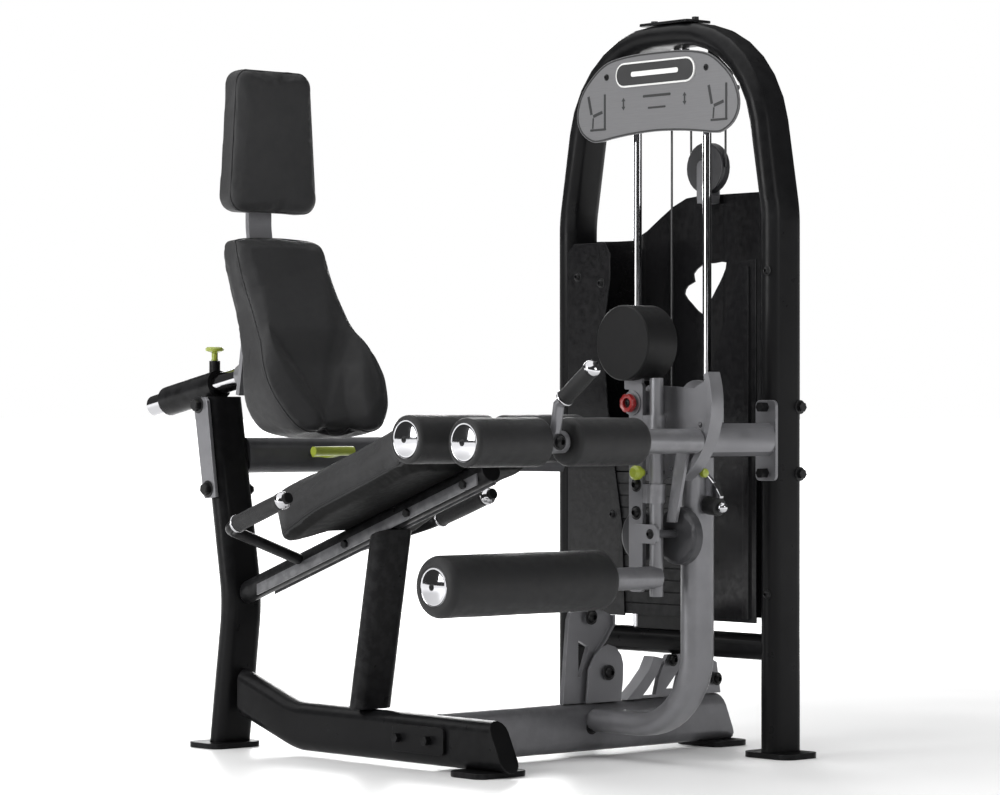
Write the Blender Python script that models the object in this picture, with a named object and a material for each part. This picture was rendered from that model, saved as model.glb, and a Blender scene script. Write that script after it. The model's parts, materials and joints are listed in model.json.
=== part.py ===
"""Leg extension machine: seat unit on the left, weight tower on the right.

Seat frame: x = 0 is the middle of the seat, +X points at the weight tower, the
user faces -Y, z = 0 is the floor. ORIGIN is the middle of the footprint in that
frame, and everything hangs from an empty placed at minus ORIGIN.
"""

import math

import bmesh
import bpy
from mathutils import Matrix, Vector

ORIGIN = Vector((0.29676, 0.21035, 0.0))
GAP = 0.0003

TUBE_WIDE = 0.100
TUBE_DEEP = 0.050
FOOT_THICK = 0.012
FLOOR_GAP = FOOT_THICK - 0.002

TOWER_X = 0.742
TOWER_LEG_Y = 0.322
TOWER_TOP_Z = 1.597
CROSS_BEAM_TOP = 0.2642
CROSS_BEAM_HIGH = 0.054
STACK_Y = 0.0145
ROD_Y = (-0.0966, 0.1255)
ROD_R = 0.010

BASE_Y = -0.013
BASE_HIGH = 0.106

PIVOT_Y = -0.270
PIVOT_Z = 0.771
HOLE_CIRCLE = 0.150
START_HOLE = -78
ARM_X = 0.360
LOWER_ROLLER = (-0.325, 0.4035)
FRONT_ROLLER = (-0.4165, 0.6915)
REAR_ROLLER = (-0.240, 0.697)
ROLLER_R = 0.0637
SMALL_ROLLER_R = 0.0505

COLUMN_TOP = 0.787
COLUMN_X = 0.4665
COLUMN_Y = -0.340

PULLEY_X = 0.8165
PULLEY_Y = -0.027
PULLEY_R = 0.0575
CABLE_RUN = PULLEY_R - 0.003
TOP_PULLEY_Z = 1.505

RAIL_SLOPE = 0.3477
RAIL_START = (0.6255, 0.3440)
RAIL_END_Y = -0.205
RAIL_SIDE = 0.050
RAIL_RISE = RAIL_SIDE / 2 * math.hypot(1.0, RAIL_SLOPE)
SEAT_HALF = 0.188

LEVER_Y = 0.6440
LEVER_Z = 0.655

SLEEVE_R = 0.0335
SLIDE_TILT = math.radians(11.0)
SLIDE_START = Vector((0.0, 0.962, 0.7665))

PAINT_BLACK = ("paint_black", (0.012, 0.012, 0.013), 0.35, 0.3)
PAINT_GREY = ("paint_grey", (0.13, 0.13, 0.14), 0.38, 0.6)
PAINT_DARK = ("paint_dark_grey", (0.028, 0.028, 0.030), 0.4, 0.4)
CHROME = ("chrome", (0.75, 0.75, 0.77), 0.08, 1.0)
VINYL = ("vinyl", (0.030, 0.030, 0.031), 0.55, 0.0)
FOAM = ("foam", (0.024, 0.024, 0.025), 0.65, 0.0)
GLOSS = ("gloss_plastic", (0.006, 0.006, 0.007), 0.15, 0.0)
IRON = ("stack_iron", (0.040, 0.040, 0.042), 0.45, 0.5)
NYLON = ("nylon", (0.035, 0.035, 0.037), 0.35, 0.0)
LIME = ("lime_plastic", (0.38, 0.45, 0.03), 0.4, 0.0)
RED = ("red_plastic", (0.35, 0.01, 0.01), 0.35, 0.0)
PLACARD = ("placard_grey", (0.45, 0.45, 0.46), 0.4, 0.2)
RUBBER = ("rubber", (0.015, 0.015, 0.015), 0.7, 0.0)
CABLE = ("cable", (0.02, 0.02, 0.021), 0.4, 0.2)


def material(spec):
    name, colour, roughness, metallic = spec
    found = bpy.data.materials.get(name)
    if found:
        return found
    made = bpy.data.materials.new(name)
    made.use_nodes = True
    shader = made.node_tree.nodes["Principled BSDF"]
    shader.inputs["Base Color"].default_value = (*colour, 1.0)
    shader.inputs["Roughness"].default_value = roughness
    shader.inputs["Metallic"].default_value = metallic
    return made


# ---- outlines -------------------------------------------------------------


def arc(centre, radius, start, end, steps):
    """Points on an arc, angles in degrees, both ends included."""
    points = []
    for i in range(steps + 1):
        angle = math.radians(start + (end - start) * i / steps)
        points.append((centre[0] + radius * math.cos(angle), centre[1] + radius * math.sin(angle)))
    return points


def circle(radius, steps, centre=(0.0, 0.0)):
    return arc(centre, radius, 0.0, 360.0 - 360.0 / steps, steps - 1)


def oval(wide, deep, steps=7):
    """Flat-oval tube section: u is the wide way, v the narrow way."""
    reach = (wide - deep) / 2
    right = arc((reach, 0.0), deep / 2, -90.0, 90.0, steps)
    left = arc((-reach, 0.0), deep / 2, 90.0, 270.0, steps)
    return right + left


def flat_bar(half, below, above):
    """Rectangular section: half its width, and its reach below and above."""
    return [(-half, -below), (half, -below), (half, above), (-half, above)]


def rounded_box(low, high, radius, steps=4):
    """Rounded rectangle from its low and high corners."""
    x0, y0 = low
    x1, y1 = high
    points = arc((x1 - radius, y0 + radius), radius, -90.0, 0.0, steps)
    points += arc((x1 - radius, y1 - radius), radius, 0.0, 90.0, steps)
    points += arc((x0 + radius, y1 - radius), radius, 90.0, 180.0, steps)
    points += arc((x0 + radius, y0 + radius), radius, 180.0, 270.0, steps)
    return points


def smooth_loop(points, steps):
    """Closed outline through the points, with curved stretches between them."""
    out = []
    count = len(points)
    for i in range(count):
        before, here, ahead, beyond = (Vector(points[(i + k) % count]) for k in (-1, 0, 1, 2))
        for k in range(steps):
            t = k / steps
            bend = here * 2 + (ahead - before) * t + (before * 2 - here * 5 + ahead * 4 - beyond) * t**2
            out.append(tuple((bend + (here * 3 - before - ahead * 3 + beyond) * t**3) / 2))
    return out


def fillet(corners, radii, steps=6):
    """Round a 3-D polyline's inner corners; a radius of 0 leaves a mitre."""
    corners = [Vector(p) for p in corners]
    points = [corners[0]]
    for before, corner, after, radius in zip(corners, corners[1:], corners[2:], radii):
        if radius == 0:
            points.append(corner)
            continue
        a = (before - corner).normalized()
        b = (after - corner).normalized()
        half = a.angle(b) / 2
        reach = radius / math.tan(half)
        centre = corner + (a + b).normalized() * (radius / math.sin(half))
        start = corner + a * reach - centre
        turn = math.pi - 2 * half
        axis = start.cross(corner + b * reach - centre).normalized()
        for i in range(steps + 1):
            points.append(centre + Matrix.Rotation(turn * i / steps, 3, axis) @ start)
    points.append(corners[-1])
    return points


# ---- closed solids --------------------------------------------------------


def loft(rings):
    """Skin equal rings of 3-D points and cap both ends."""
    shape = bmesh.new()
    loops = [[shape.verts.new(point) for point in ring] for ring in rings]
    count = len(loops[0])
    for low, high in zip(loops, loops[1:]):
        for i in range(count):
            j = (i + 1) % count
            shape.faces.new((low[i], low[j], high[j], high[i]))
    shape.faces.new(list(reversed(loops[0])))
    shape.faces.new(loops[-1])
    bmesh.ops.recalc_face_normals(shape, faces=shape.faces[:])
    return shape


def sweep(path, section, side):
    """Sweep a section along a flat path; side is the direction of the section's u."""
    path = [Vector(p) for p in path]
    side = Vector(side).normalized()
    rings = []
    for i, point in enumerate(path):
        ahead = (path[min(i + 1, len(path) - 1)] - point).normalized()
        behind = (point - path[max(i - 1, 0)]).normalized()
        ahead = ahead if ahead.length else behind
        behind = behind if behind.length else ahead
        tangent = (ahead + behind).normalized()
        stretch = 1.0 / max(0.3, tangent.dot(ahead))
        across = tangent.cross(side).normalized()
        rings.append([point + side * u + across * (v * stretch) for u, v in section])
    return loft(rings)


def rod(start, end, radius, steps=20, end_radius=None):
    """Round bar or cone between two points."""
    start = Vector(start)
    end = Vector(end)
    along = (end - start).normalized()
    side = along.orthogonal().normalized()
    if abs(along.x) > 0.99:
        side = Vector((0, 1, 0))
    across = along.cross(side)
    rings = []
    for point, size in ((start, radius), (end, radius if end_radius is None else end_radius)):
        rings.append([point + side * u + across * v for u, v in circle(size, steps)])
    return loft(rings)


def turned(start, direction, profile, steps=24):
    """Turned solid: profile is (distance along, radius) pairs."""
    start = Vector(start)
    along = Vector(direction).normalized()
    side = Vector((0, 1, 0)) if abs(along.x) > 0.99 else along.orthogonal().normalized()
    across = along.cross(side)
    rings = []
    for reach, size in profile:
        rings.append([start + along * reach + side * u + across * v for u, v in circle(size, steps)])
    return loft(rings)


AXES = {"x": (1, 2, 0), "y": (0, 2, 1), "z": (0, 1, 2)}


def prism(outline, axis, low, high, holes=()):
    """Flat plate: an outline, with holes, in the plane square to an axis."""
    shape = bmesh.new()
    u, v, w = AXES[axis]
    edges = []
    for loop in [outline, *holes]:
        verts = []
        for point in loop:
            place = [0.0, 0.0, 0.0]
            place[u] = point[0]
            place[v] = point[1]
            place[w] = low
            verts.append(shape.verts.new(place))
        for a, b in zip(verts, verts[1:] + verts[:1]):
            edges.append(shape.edges.new((a, b)))
    if holes:
        bmesh.ops.triangle_fill(shape, use_beauty=True, use_dissolve=False, edges=edges)
    else:
        shape.faces.new(shape.verts[:])
    lift = Vector((0.0, 0.0, 0.0))
    lift[w] = high - low
    grown = bmesh.ops.extrude_face_region(shape, geom=shape.faces[:])
    top = [item for item in grown["geom"] if isinstance(item, bmesh.types.BMVert)]
    bmesh.ops.translate(shape, verts=top, vec=lift)
    bmesh.ops.recalc_face_normals(shape, faces=shape.faces[:])
    return shape


def block(low, high):
    corners = [(low[0], low[1]), (high[0], low[1]), (high[0], high[1]), (low[0], high[1])]
    return prism(corners, "z", low[2], high[2])


def loose(shape, name):
    mesh = bpy.data.meshes.new(name)
    shape.to_mesh(mesh)
    shape.free()
    piece = bpy.data.objects.new(name, mesh)
    bpy.context.scene.collection.objects.link(piece)
    return piece


def combine(name, shapes, cuts):
    """Union of shapes less the cuts, as one mesh."""
    base = loose(shapes[0], name)
    helpers = []
    for kind, items in (("UNION", shapes[1:]), ("DIFFERENCE", cuts)):
        for item in items:
            helper = loose(item, name + "_tool")
            helpers.append(helper)
            step = base.modifiers.new(kind.lower(), "BOOLEAN")
            step.operation = kind
            step.solver = "EXACT"
            step.object = helper
    graph = bpy.context.evaluated_depsgraph_get()
    mesh = bpy.data.meshes.new_from_object(base.evaluated_get(graph))
    for item in [base, *helpers]:
        bpy.data.objects.remove(item)
    return mesh


def node(name, spec, shapes, cuts=(), at=None, parent=None):
    """Make one named part; its origin is `at`, a point in the seat frame."""
    if len(shapes) + len(cuts) > 1:
        mesh = combine(name, shapes, cuts)
    else:
        mesh = bpy.data.meshes.new(name)
        shapes[0].to_mesh(mesh)
        shapes[0].free()
    at = Vector(at) if at is not None else Vector((0.0, 0.0, 0.0))
    mesh.transform(Matrix.Translation(-at))
    mesh.materials.clear()
    mesh.materials.append(material(spec))
    mesh.shade_smooth()
    mesh.set_sharp_from_angle(angle=math.radians(32))
    made = bpy.data.objects.new(name, mesh)
    bpy.context.scene.collection.objects.link(made)
    made.location = at
    made.parent = parent or bpy.data.objects["machine"]
    return made


# ---- weight tower ---------------------------------------------------------


def foot(x, y, size_x, size_y):
    """Foot plate, welded to the tube that stands on it."""
    corner = 0.028
    outline = rounded_box((x - size_x / 2, y - size_y / 2), (x + size_x / 2, y + size_y / 2), corner)
    return prism(outline, "z", 0.0, FOOT_THICK)


def tower_frame():
    lean_y = 0.252
    bend_z = 1.19
    legs = [
        (TOWER_X, -TOWER_LEG_Y, FLOOR_GAP),
        (TOWER_X, -TOWER_LEG_Y, bend_z),
        (TOWER_X, -lean_y, TOWER_TOP_Z),
        (TOWER_X, lean_y, TOWER_TOP_Z),
        (TOWER_X, TOWER_LEG_Y, bend_z),
        (TOWER_X, TOWER_LEG_Y, FLOOR_GAP),
    ]
    path = fillet(legs, (0.3, 0.25, 0.25, 0.3), steps=7)
    arch = sweep(path, oval(TUBE_WIDE, TUBE_DEEP), (1, 0, 0))
    feet = [foot(TOWER_X, y, 0.110, 0.140) for y in (-TOWER_LEG_Y, TOWER_LEG_Y)]
    reach = TOWER_LEG_Y - 0.010
    beam_z = CROSS_BEAM_TOP - CROSS_BEAM_HIGH / 2
    ends = [(TOWER_X, -reach, beam_z), (TOWER_X, reach, beam_z)]
    beam = sweep(ends, oval(0.098, CROSS_BEAM_HIGH), (1, 0, 0))
    node("tower_frame", PAINT_BLACK, [arch, *feet, beam, *pulley_hanger(), *cable_anchor()])
    top = TOWER_TOP_Z + TUBE_DEEP / 2 + GAP
    plate = prism(rounded_box((0.702, -0.075), (0.782, 0.085), 0.012), "z", top, top + 0.006)
    heads = [rod((TOWER_X, y, top + 0.004), (TOWER_X, y, top + 0.014), 0.009, 6) for y in (-0.060, 0.070)]
    node("tower_top_plate", PAINT_BLACK, [plate, *heads])


def placard():
    x0 = 0.678
    half = [(0.000, 1.5580), (0.070, 1.5570), (0.130, 1.5510), (0.170, 1.5400), (0.2065, 1.5160)]
    half += [(0.2390, 1.4840), (0.2560, 1.4470), (0.2570, 1.4150), (0.2400, 1.3860), (0.2070, 1.3675)]
    half += [(0.1760, 1.3665), (0.1400, 1.3710), (0.0900, 1.3760), (0.0400, 1.3790), (0.000, 1.3800)]
    low = smooth_loop(half + [(-y, z) for y, z in reversed(half[1:-1])], 3)
    sheet = prism(low, "x", x0, x0 + 0.004)
    studs = [rod((x0 + 0.003, y, 1.462), (0.6915, y, 1.462), 0.006, 8) for y in (-0.242, 0.242)]
    node("placard", PLACARD, [sheet, *studs])


def shroud_top(y):
    """Height of the rear shroud's wavy top edge."""
    low = 1.148
    high = 1.244
    rise = min(1.0, max(0.0, (0.25 - y) / 0.21))
    return low + (high - low) * (3 * rise**2 - 2 * rise**3) ** 0.8


def shrouds():
    thick = 0.004
    bottom = 0.292
    back = 0.842
    near = 0.7925
    stations = [-0.318, -0.300, -0.270, -0.235]
    stations += [-0.19 + 0.043 * i for i in range(11)]
    stations += [0.270, 0.300, 0.318]

    def depth(y):
        bulge = min(1.0, max(0.0, (0.300 - abs(y)) / 0.065))
        return near + (back - near) * bulge

    rings = []
    for y in stations:
        x = depth(y)
        top = shroud_top(y)
        rings.append([(x, y, bottom), (x + thick, y, bottom), (x + thick, y, top), (x, y, top)])
    window = [(0.0747, 1.0214), (0.0640, 1.0400), (0.0420, 1.0490), (0.0461, 1.0669), (0.0176, 1.0863)]
    window += [(-0.0240, 1.0890), (-0.0589, 1.0896), (-0.0469, 1.0584), (-0.0268, 1.0303)]
    window += [(-0.0147, 1.0133), (0.0035, 0.9908), (0.0193, 0.9750), (0.0502, 0.9976)]
    window = smooth_loop(window, 2)
    cut = prism(window, "x", back - 0.02, back + 0.02)
    node("shroud_rear", GLOSS, [loft(rings)], cuts=[cut])

    x0 = 0.6878
    left = [(0.300, 0.292), (0.300, 1.118), (0.280, 1.138), (0.175, 1.138), (0.160, 1.11)]
    left += [(0.162, 1.05), (0.178, 0.96), (0.182, 0.90), (0.168, 0.76), (0.143, 0.62)]
    left += [(0.120, 0.50), (0.112, 0.292)]
    node("shroud_left", GLOSS, [prism(left, "x", x0, x0 + thick)])

    edge = [(-0.2995, 1.085), (-0.250, 1.080), (-0.226, 0.997), (-0.188, 0.921), (-0.168, 0.862)]
    edge += [(-0.160, 0.70), (-0.160, 0.292), (-0.2995, 0.292)]
    panel = prism(edge, "x", x0, x0 + thick)
    rib = block((x0 - 0.006, -0.282, 0.30), (x0 + 0.002, -0.264, 1.07))
    node("shroud_right", GLOSS, [panel, rib])


def guides():
    for name, y in zip(("guide_rod_near", "guide_rod_far"), ROD_Y):
        node(name, CHROME, [rod((TOWER_X, y, CROSS_BEAM_TOP + GAP), (TOWER_X, y, 1.5500), ROD_R, 16)])


def stack_slab(z0, z1, groove, count):
    """Stack of plates as one solid: wide plates on a narrower core."""
    half_y = 0.150
    half_x = 0.049
    pitch = (z1 - z0) / count
    rings = []
    for i in range(count):
        for inset, z in ((0.0, z0 + pitch * i), (0.0, z0 + pitch * (i + 1) - groove)):
            rings.append((inset, z))
        if i + 1 < count:
            rings.append((0.003, z0 + pitch * (i + 1) - groove))
            rings.append((0.003, z0 + pitch * (i + 1)))
    shaped = []
    for inset, z in rings:
        x = half_x - inset
        y = half_y - inset
        corners = [(-x, -y), (x, -y), (x, y), (-x, y)]
        shaped.append([(TOWER_X + a, STACK_Y + b, z) for a, b in corners])
    return loft(shaped)


def weights():
    bores = [rod((TOWER_X, y, 0.1), (TOWER_X, y, 1.2), ROD_R + 0.003, 16) for y in ROD_Y]
    stem_bore = rod((TOWER_X, STACK_Y, 0.1), (TOWER_X, STACK_Y, 0.7475), 0.0135, 16)
    pin_bore = rod((0.68, STACK_Y, 0.6315), (0.742, STACK_Y, 0.6315), 0.0062, 12)
    lower = stack_slab(0.2965, 0.6185, 0.0025, 12)
    node("weight_stack_lower", IRON, [lower], cuts=[*bores, stem_bore])

    bores = [rod((TOWER_X, y, 0.1), (TOWER_X, y, 1.2), ROD_R + 0.003, 16) for y in ROD_Y]
    upper = stack_slab(0.6190, 0.7255, 0.0025, 4)
    head = block((0.702, -0.020, 0.720), (0.782, 0.049, 0.748))
    stem_bore = rod((TOWER_X, STACK_Y, 0.1), (TOWER_X, STACK_Y, 0.7), 0.0135, 16)
    node("weight_stack_upper", IRON, [upper, head], cuts=[*bores, stem_bore, pin_bore])

    stem = rod((TOWER_X, STACK_Y, 0.300), (TOWER_X, STACK_Y, 0.6997), 0.0115, 16)
    hole = rod((0.70, STACK_Y, 0.6315), (0.78, STACK_Y, 0.6315), 0.0062, 12)
    node("selector_stem", CHROME, [stem], cuts=[hole])
    pin = turned(
        (0.652, STACK_Y, 0.6315),
        (1, 0, 0),
        [
            (0.0, 0.008),
            (0.003, 0.011),
            (0.018, 0.011),
            (0.022, 0.0075),
            (0.0365, 0.0075),
            (0.0366, 0.005),
            (0.095, 0.005),
        ],
        12,
    )
    node("selector_pin", LIME, [pin], at=(0.652, STACK_Y, 0.6315))
    bumper = block((0.715, -0.068, CROSS_BEAM_TOP + GAP), (0.769, 0.098, 0.2962))
    node("stack_bumper", RUBBER, [bumper])


def pulley(centre, radius, half, bore):
    """Grooved pulley on an X axis, with a bore through it."""
    x, y, z = centre
    groove = radius - 0.006
    profile = [(-half, radius - 0.002), (-half + 0.002, radius), (-0.0022, groove), (0.0022, groove)]
    profile += [(half - 0.002, radius), (half, radius - 0.002)]
    wheel = turned((x, y, z), (1, 0, 0), profile, 28)
    return wheel, rod((x - 0.1, y, z), (x + 0.1, y, z), bore, 12)


def top_pulley_place():
    """Centre, axle direction and running radius of the pulley above the stack."""
    start = Vector((TOWER_X, STACK_Y, TOP_PULLEY_Z))
    end = Vector((PULLEY_X, PULLEY_Y + CABLE_RUN, TOP_PULLEY_Z))
    across = end - start
    axis = Vector((-across.y, across.x, 0.0)).normalized()
    return (start + end) / 2, axis, across


def pulley_hanger():
    centre, axis, across = top_pulley_place()
    pin = rod(centre - axis * 0.020, centre + axis * 0.020, 0.0060, 12)
    side = across.normalized() * 0.012
    plates = []
    for end in (-1, 1):
        inner = centre + axis * (0.0095 * end)
        outer = centre + axis * (0.0135 * end)
        rings = []
        for z in (TOP_PULLEY_Z - 0.012, TOWER_TOP_Z - TUBE_DEEP / 2 + 0.002):
            rings.append([(p.x, p.y, z) for p in (inner - side, inner + side, outer + side, outer - side)])
        plates.append(loft(rings))
    return [*plates, pin]


def cable_anchor():
    y = PULLEY_Y - CABLE_RUN
    anchor = block((PULLEY_X - 0.012, y - 0.012, 1.500), (PULLEY_X + 0.012, y + 0.012, 1.540))
    arm = block((0.770, y - 0.010, 1.535), (PULLEY_X + 0.011, y + 0.010, 1.577))
    return [arm, anchor]


def cables():
    centre, axis, across = top_pulley_place()
    radius = across.length / 2 - 0.0033
    profile = [(0.0, radius + 0.005), (0.006, radius), (0.010, radius), (0.016, radius + 0.005)]
    top_wheel = turned(centre - axis * 0.008, axis, profile, 20)
    top_bore = rod(centre - axis * 0.03, centre + axis * 0.03, 0.0065, 12)
    wheel, bore = pulley((PULLEY_X, PULLEY_Y, 1.303), PULLEY_R, 0.013, 0.0075)
    node("floating_pulley", NYLON, [wheel], cuts=[bore], at=(PULLEY_X, PULLEY_Y, 1.303))
    cheek_low = PULLEY_X - 0.0195
    cheek_high = PULLEY_X + 0.0155
    outline = rounded_box((PULLEY_Y - 0.018, 1.222), (PULLEY_Y + 0.018, 1.320), 0.015, 3)
    cheeks = [prism(outline, "x", x, x + 0.004) for x in (cheek_low, cheek_high)]
    bridge_low = (cheek_low + 0.001, PULLEY_Y - 0.017, 1.223)
    bridge = block(bridge_low, (cheek_high + 0.003, PULLEY_Y + 0.017, 1.240))
    axle = rod((cheek_low - 0.003, PULLEY_Y, 1.303), (cheek_high + 0.007, PULLEY_Y, 1.303), 0.0070, 12)
    node("floating_pulley_block", PAINT_GREY, [bridge, *cheeks, axle])

    node("top_pulley", NYLON, [top_wheel], cuts=[top_bore], at=centre)
    thin = 0.0025
    node("lift_cable", CABLE, [rod((TOWER_X, STACK_Y, 0.7483), (TOWER_X, STACK_Y, TOP_PULLEY_Z), thin, 8)])
    for name, side, top in (("near", CABLE_RUN, TOP_PULLEY_Z), ("far", -CABLE_RUN, 1.4997)):
        low = (PULLEY_X, PULLEY_Y + side, 1.303)
        node("return_cable_" + name, CABLE, [rod(low, (PULLEY_X, PULLEY_Y + side, top), thin, 8)])
    node("drive_cable", CABLE, [rod((PULLEY_X, PULLEY_Y, 0.215), (PULLEY_X, PULLEY_Y, 1.2217), thin, 8)])


# ---- base and support column ---------------------------------------------


def base():
    z = FLOOR_GAP + BASE_HIGH / 2
    x0 = TUBE_DEEP / 2 + GAP
    nose = 0.852
    beam = sweep([(x0, BASE_Y, z), (nose, BASE_Y, z)], oval(BASE_HIGH, TUBE_DEEP), (0, 0, 1))
    for vert in beam.verts:
        if vert.co.x > nose - 0.001:
            vert.co.x += 0.42 * (z + BASE_HIGH / 2 - vert.co.z)
    node("base_beam", PAINT_GREY, [beam, foot(0.842, BASE_Y, 0.110, 0.140)])
    plate = prism(rounded_box((-0.092, 0.036), (0.072, 0.094), 0.010), "x", -0.0333, -0.0253)
    heads = [rod((-0.048, y, 0.065), (-0.030, y, 0.065), 0.0105, 6) for y in (-0.046, 0.050)]
    node("base_clamp_plate", PAINT_BLACK, [plate, *heads])

    top = FLOOR_GAP + BASE_HIGH + GAP
    pulley_bracket(top)
    tower_gusset(top)


def pulley_bracket(top):
    """Waisted upright on the base with a half-round guard in front of it."""
    outline = [(0.372, top), (0.389, 0.300), (0.396, 0.316), (0.494, 0.316), (0.5135, 0.306)]
    outline += [(0.5135, 0.284), (0.489, 0.252), (0.4665, 0.228), (0.453, 0.192), (0.449, top)]
    hole = [(0.417, 0.172), (0.4235, 0.172), (0.4485, 0.238), (0.417, 0.254)]
    upright = prism(outline, "y", -0.024, -0.012, [hole])
    lug = rod((0.446, -0.034, 0.300), (0.446, -0.012, 0.300), 0.010, 12)
    curve = [(0.449, 0.150), (0.453, 0.192), (0.4665, 0.228)]
    curve += [(0.489, 0.252), (0.5135, 0.284), (0.5135, 0.306)]
    outer = [(u + 0.006, v) for u, v in reversed(curve)]
    flange = prism(curve + outer, "y", -0.034, 0.006)
    guard = [(0.429, top), (0.436, 0.190), (0.456, 0.222), (0.478, 0.238), (0.4961, 0.242)]
    guard += [(0.517, 0.236), (0.534, 0.218), (0.5405, 0.197), (0.539, 0.160), (0.533, top)]
    cover = prism(guard, "y", -0.038, -0.032)
    boss = rod((0.4906, -0.044, 0.181), (0.4906, -0.012, 0.181), 0.012, 12)
    base_pad = block((0.462, -0.036, top), (0.530, -0.014, top + 0.006))
    node("base_pulley_bracket", PAINT_GREY, [upright, lug, flange, cover, boss, base_pad])


def tower_gusset(top):
    """Plate that ties the base to the tower, with a curved fork in front."""
    outline = [(0.656, top), (0.668, 0.160), (0.695, 0.2095), (0.800, 0.2095), (0.852, 0.186), (0.864, top)]
    hole = [(0.690, 0.133), (0.722, 0.133), (0.737, 0.180)]
    plate = prism(outline, "y", -0.019, -0.007, [hole])
    inner = [(0.558, top), (0.598, 0.150), (0.628, 0.180), (0.644, 0.209)]
    outer = [(0.680, 0.201), (0.668, 0.196), (0.652, 0.168), (0.622, 0.136), (0.600, top)]
    fork = prism(inner + outer, "y", -0.030, 0.004)
    foot_strip = block((0.590, -0.019, top), (0.670, -0.007, top + 0.006))
    bolts = [rod((x, -0.026, z), (x, -0.012, z), 0.009, 10) for x, z in ((0.706, 0.198), (0.846, 0.1485))]
    node("tower_gusset", PAINT_GREY, [plate, fork, foot_strip, *bolts])


def column():
    low = 0.079
    corners = [
        (COLUMN_X, BASE_Y - TUBE_DEEP / 2 - GAP, low),
        (COLUMN_X, COLUMN_Y, low),
        (COLUMN_X, COLUMN_Y, 0.6557),
    ]
    path = fillet(corners, (0.165,), steps=10)
    node("support_column", PAINT_GREY, [sweep(path, oval(0.080, TUBE_DEEP), (1, 0, 0))])
    z = 0.6925
    x0 = COLUMN_X - 0.040
    beam = sweep([(x0, -0.336, z), (0.6860, -0.336, z)], oval(0.073, TUBE_DEEP, 5), (0, 0, 1))
    plate = prism(rounded_box((-0.362, 0.603), (-0.302, 0.778), 0.012), "x", 0.6837, 0.6917)
    heads = [rod((0.6640, -0.332, height), (0.6870, -0.332, height), 0.0115, 6) for height in (0.763, 0.620)]
    node("column_tie_beam", PAINT_GREY, [beam, plate, *heads])

    bore = rod((0.40, PIVOT_Y, PIVOT_Z), (0.60, PIVOT_Y, PIVOT_Z), 0.0133, 24)
    shell = rod((0.4290, PIVOT_Y, PIVOT_Z), (0.530, PIVOT_Y, PIVOT_Z), 0.034, 24)
    web = block((0.4320, -0.3600, 0.7293), (0.5270, PIVOT_Y, 0.7600))
    node("pivot_housing", PAINT_GREY, [shell, web], cuts=[bore])


# ---- seat unit ------------------------------------------------------------


def slide_point(reach):
    """Point on the back rest's sliding tube, measured from its rear end."""
    return SLIDE_START + Vector((0.0, -math.cos(SLIDE_TILT), math.sin(SLIDE_TILT))) * reach


def rail_middle(y):
    """Height of the middle of the sloping seat rail."""
    return RAIL_START[1] - RAIL_SLOPE * (y - RAIL_START[0])


def seat_frame():
    z = FLOOR_GAP + BASE_HIGH / 2
    path = fillet([(0, -0.246, z), (0, 0.425, z), (0, 0.6195, z + 0.0617)], (0.20,), steps=5)
    beam = sweep(path, oval(BASE_HIGH, TUBE_DEEP), (0, 0, 1))
    for vert in beam.verts:
        if vert.co.y < -0.245:
            vert.co.y += 0.50 * (vert.co.z - z)
    node("seat_base_beam", PAINT_BLACK, [beam, foot(0.003, -0.192, 0.140, 0.110)])

    path = fillet([(0, 0.678, FLOOR_GAP), (0, 0.633, 0.330), (0, 0.711, COLUMN_TOP)], (0.35,), steps=6)
    column_tube = sweep(path, oval(TUBE_WIDE, TUBE_DEEP), (1, 0, 0))
    for vert in column_tube.verts:
        if vert.co.z < FLOOR_GAP + 0.01:
            vert.co.z = FLOOR_GAP
        if vert.co.z > COLUMN_TOP - 0.01:
            vert.co.z = COLUMN_TOP
    sleeve_seat = rod(slide_point(0.050), slide_point(0.260), SLEEVE_R + GAP, 20)
    shapes = [column_tube, foot(-0.010, 0.684, 0.140, 0.110)]
    node("rear_column", PAINT_BLACK, shapes, cuts=[sleeve_seat])

    ends = [(0, *RAIL_START), (0, RAIL_END_Y, rail_middle(RAIL_END_Y))]
    rail = sweep(ends, oval(RAIL_SIDE, RAIL_SIDE), (1, 0, 0))
    for vert in rail.verts:
        if vert.co.y > 0.56:
            face = 0.6105 + 0.05 * (vert.co.z - RAIL_START[1])
            vert.co.z += RAIL_SLOPE * (vert.co.y - face)
            vert.co.y = face
    node("seat_rail", PAINT_BLACK, [rail])

    bottom = FLOOR_GAP + BASE_HIGH + GAP
    post = sweep([(0, 0.186, bottom), (0, 0.115, 0.470)], oval(TUBE_WIDE, TUBE_DEEP), (1, 0, 0))
    for vert in post.verts:
        if vert.co.z < 0.2:
            vert.co.z = bottom
        else:
            vert.co.z = rail_middle(vert.co.y) - RAIL_RISE - GAP
    node("seat_front_post", PAINT_BLACK, [post])

    outline = [(0.654, 0.562), (0.693, 0.558), (0.700, 0.566), (0.735, 0.770), (0.733, 0.780)]
    outline += [(0.695, 0.786), (0.686, 0.778)]
    plate = prism(outline, "x", -0.0590, -0.0503)
    node("column_saddle_plate", PAINT_GREY, [plate])
    z = 0.6545
    corners = [(0.0503, 0.690, z), (0.300, 0.676, z), (0.585, 0.560, z), (0.690, 0.3222, z)]
    path = fillet(corners, (0.15, 0.16), steps=5)
    beam = sweep(path, oval(0.081, TUBE_DEEP), (0, 0, 1))
    for vert in beam.verts:
        if vert.co.y < 0.36:
            vert.co.x = 0.6917
    node("back_beam", PAINT_DARK, [beam])


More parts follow.
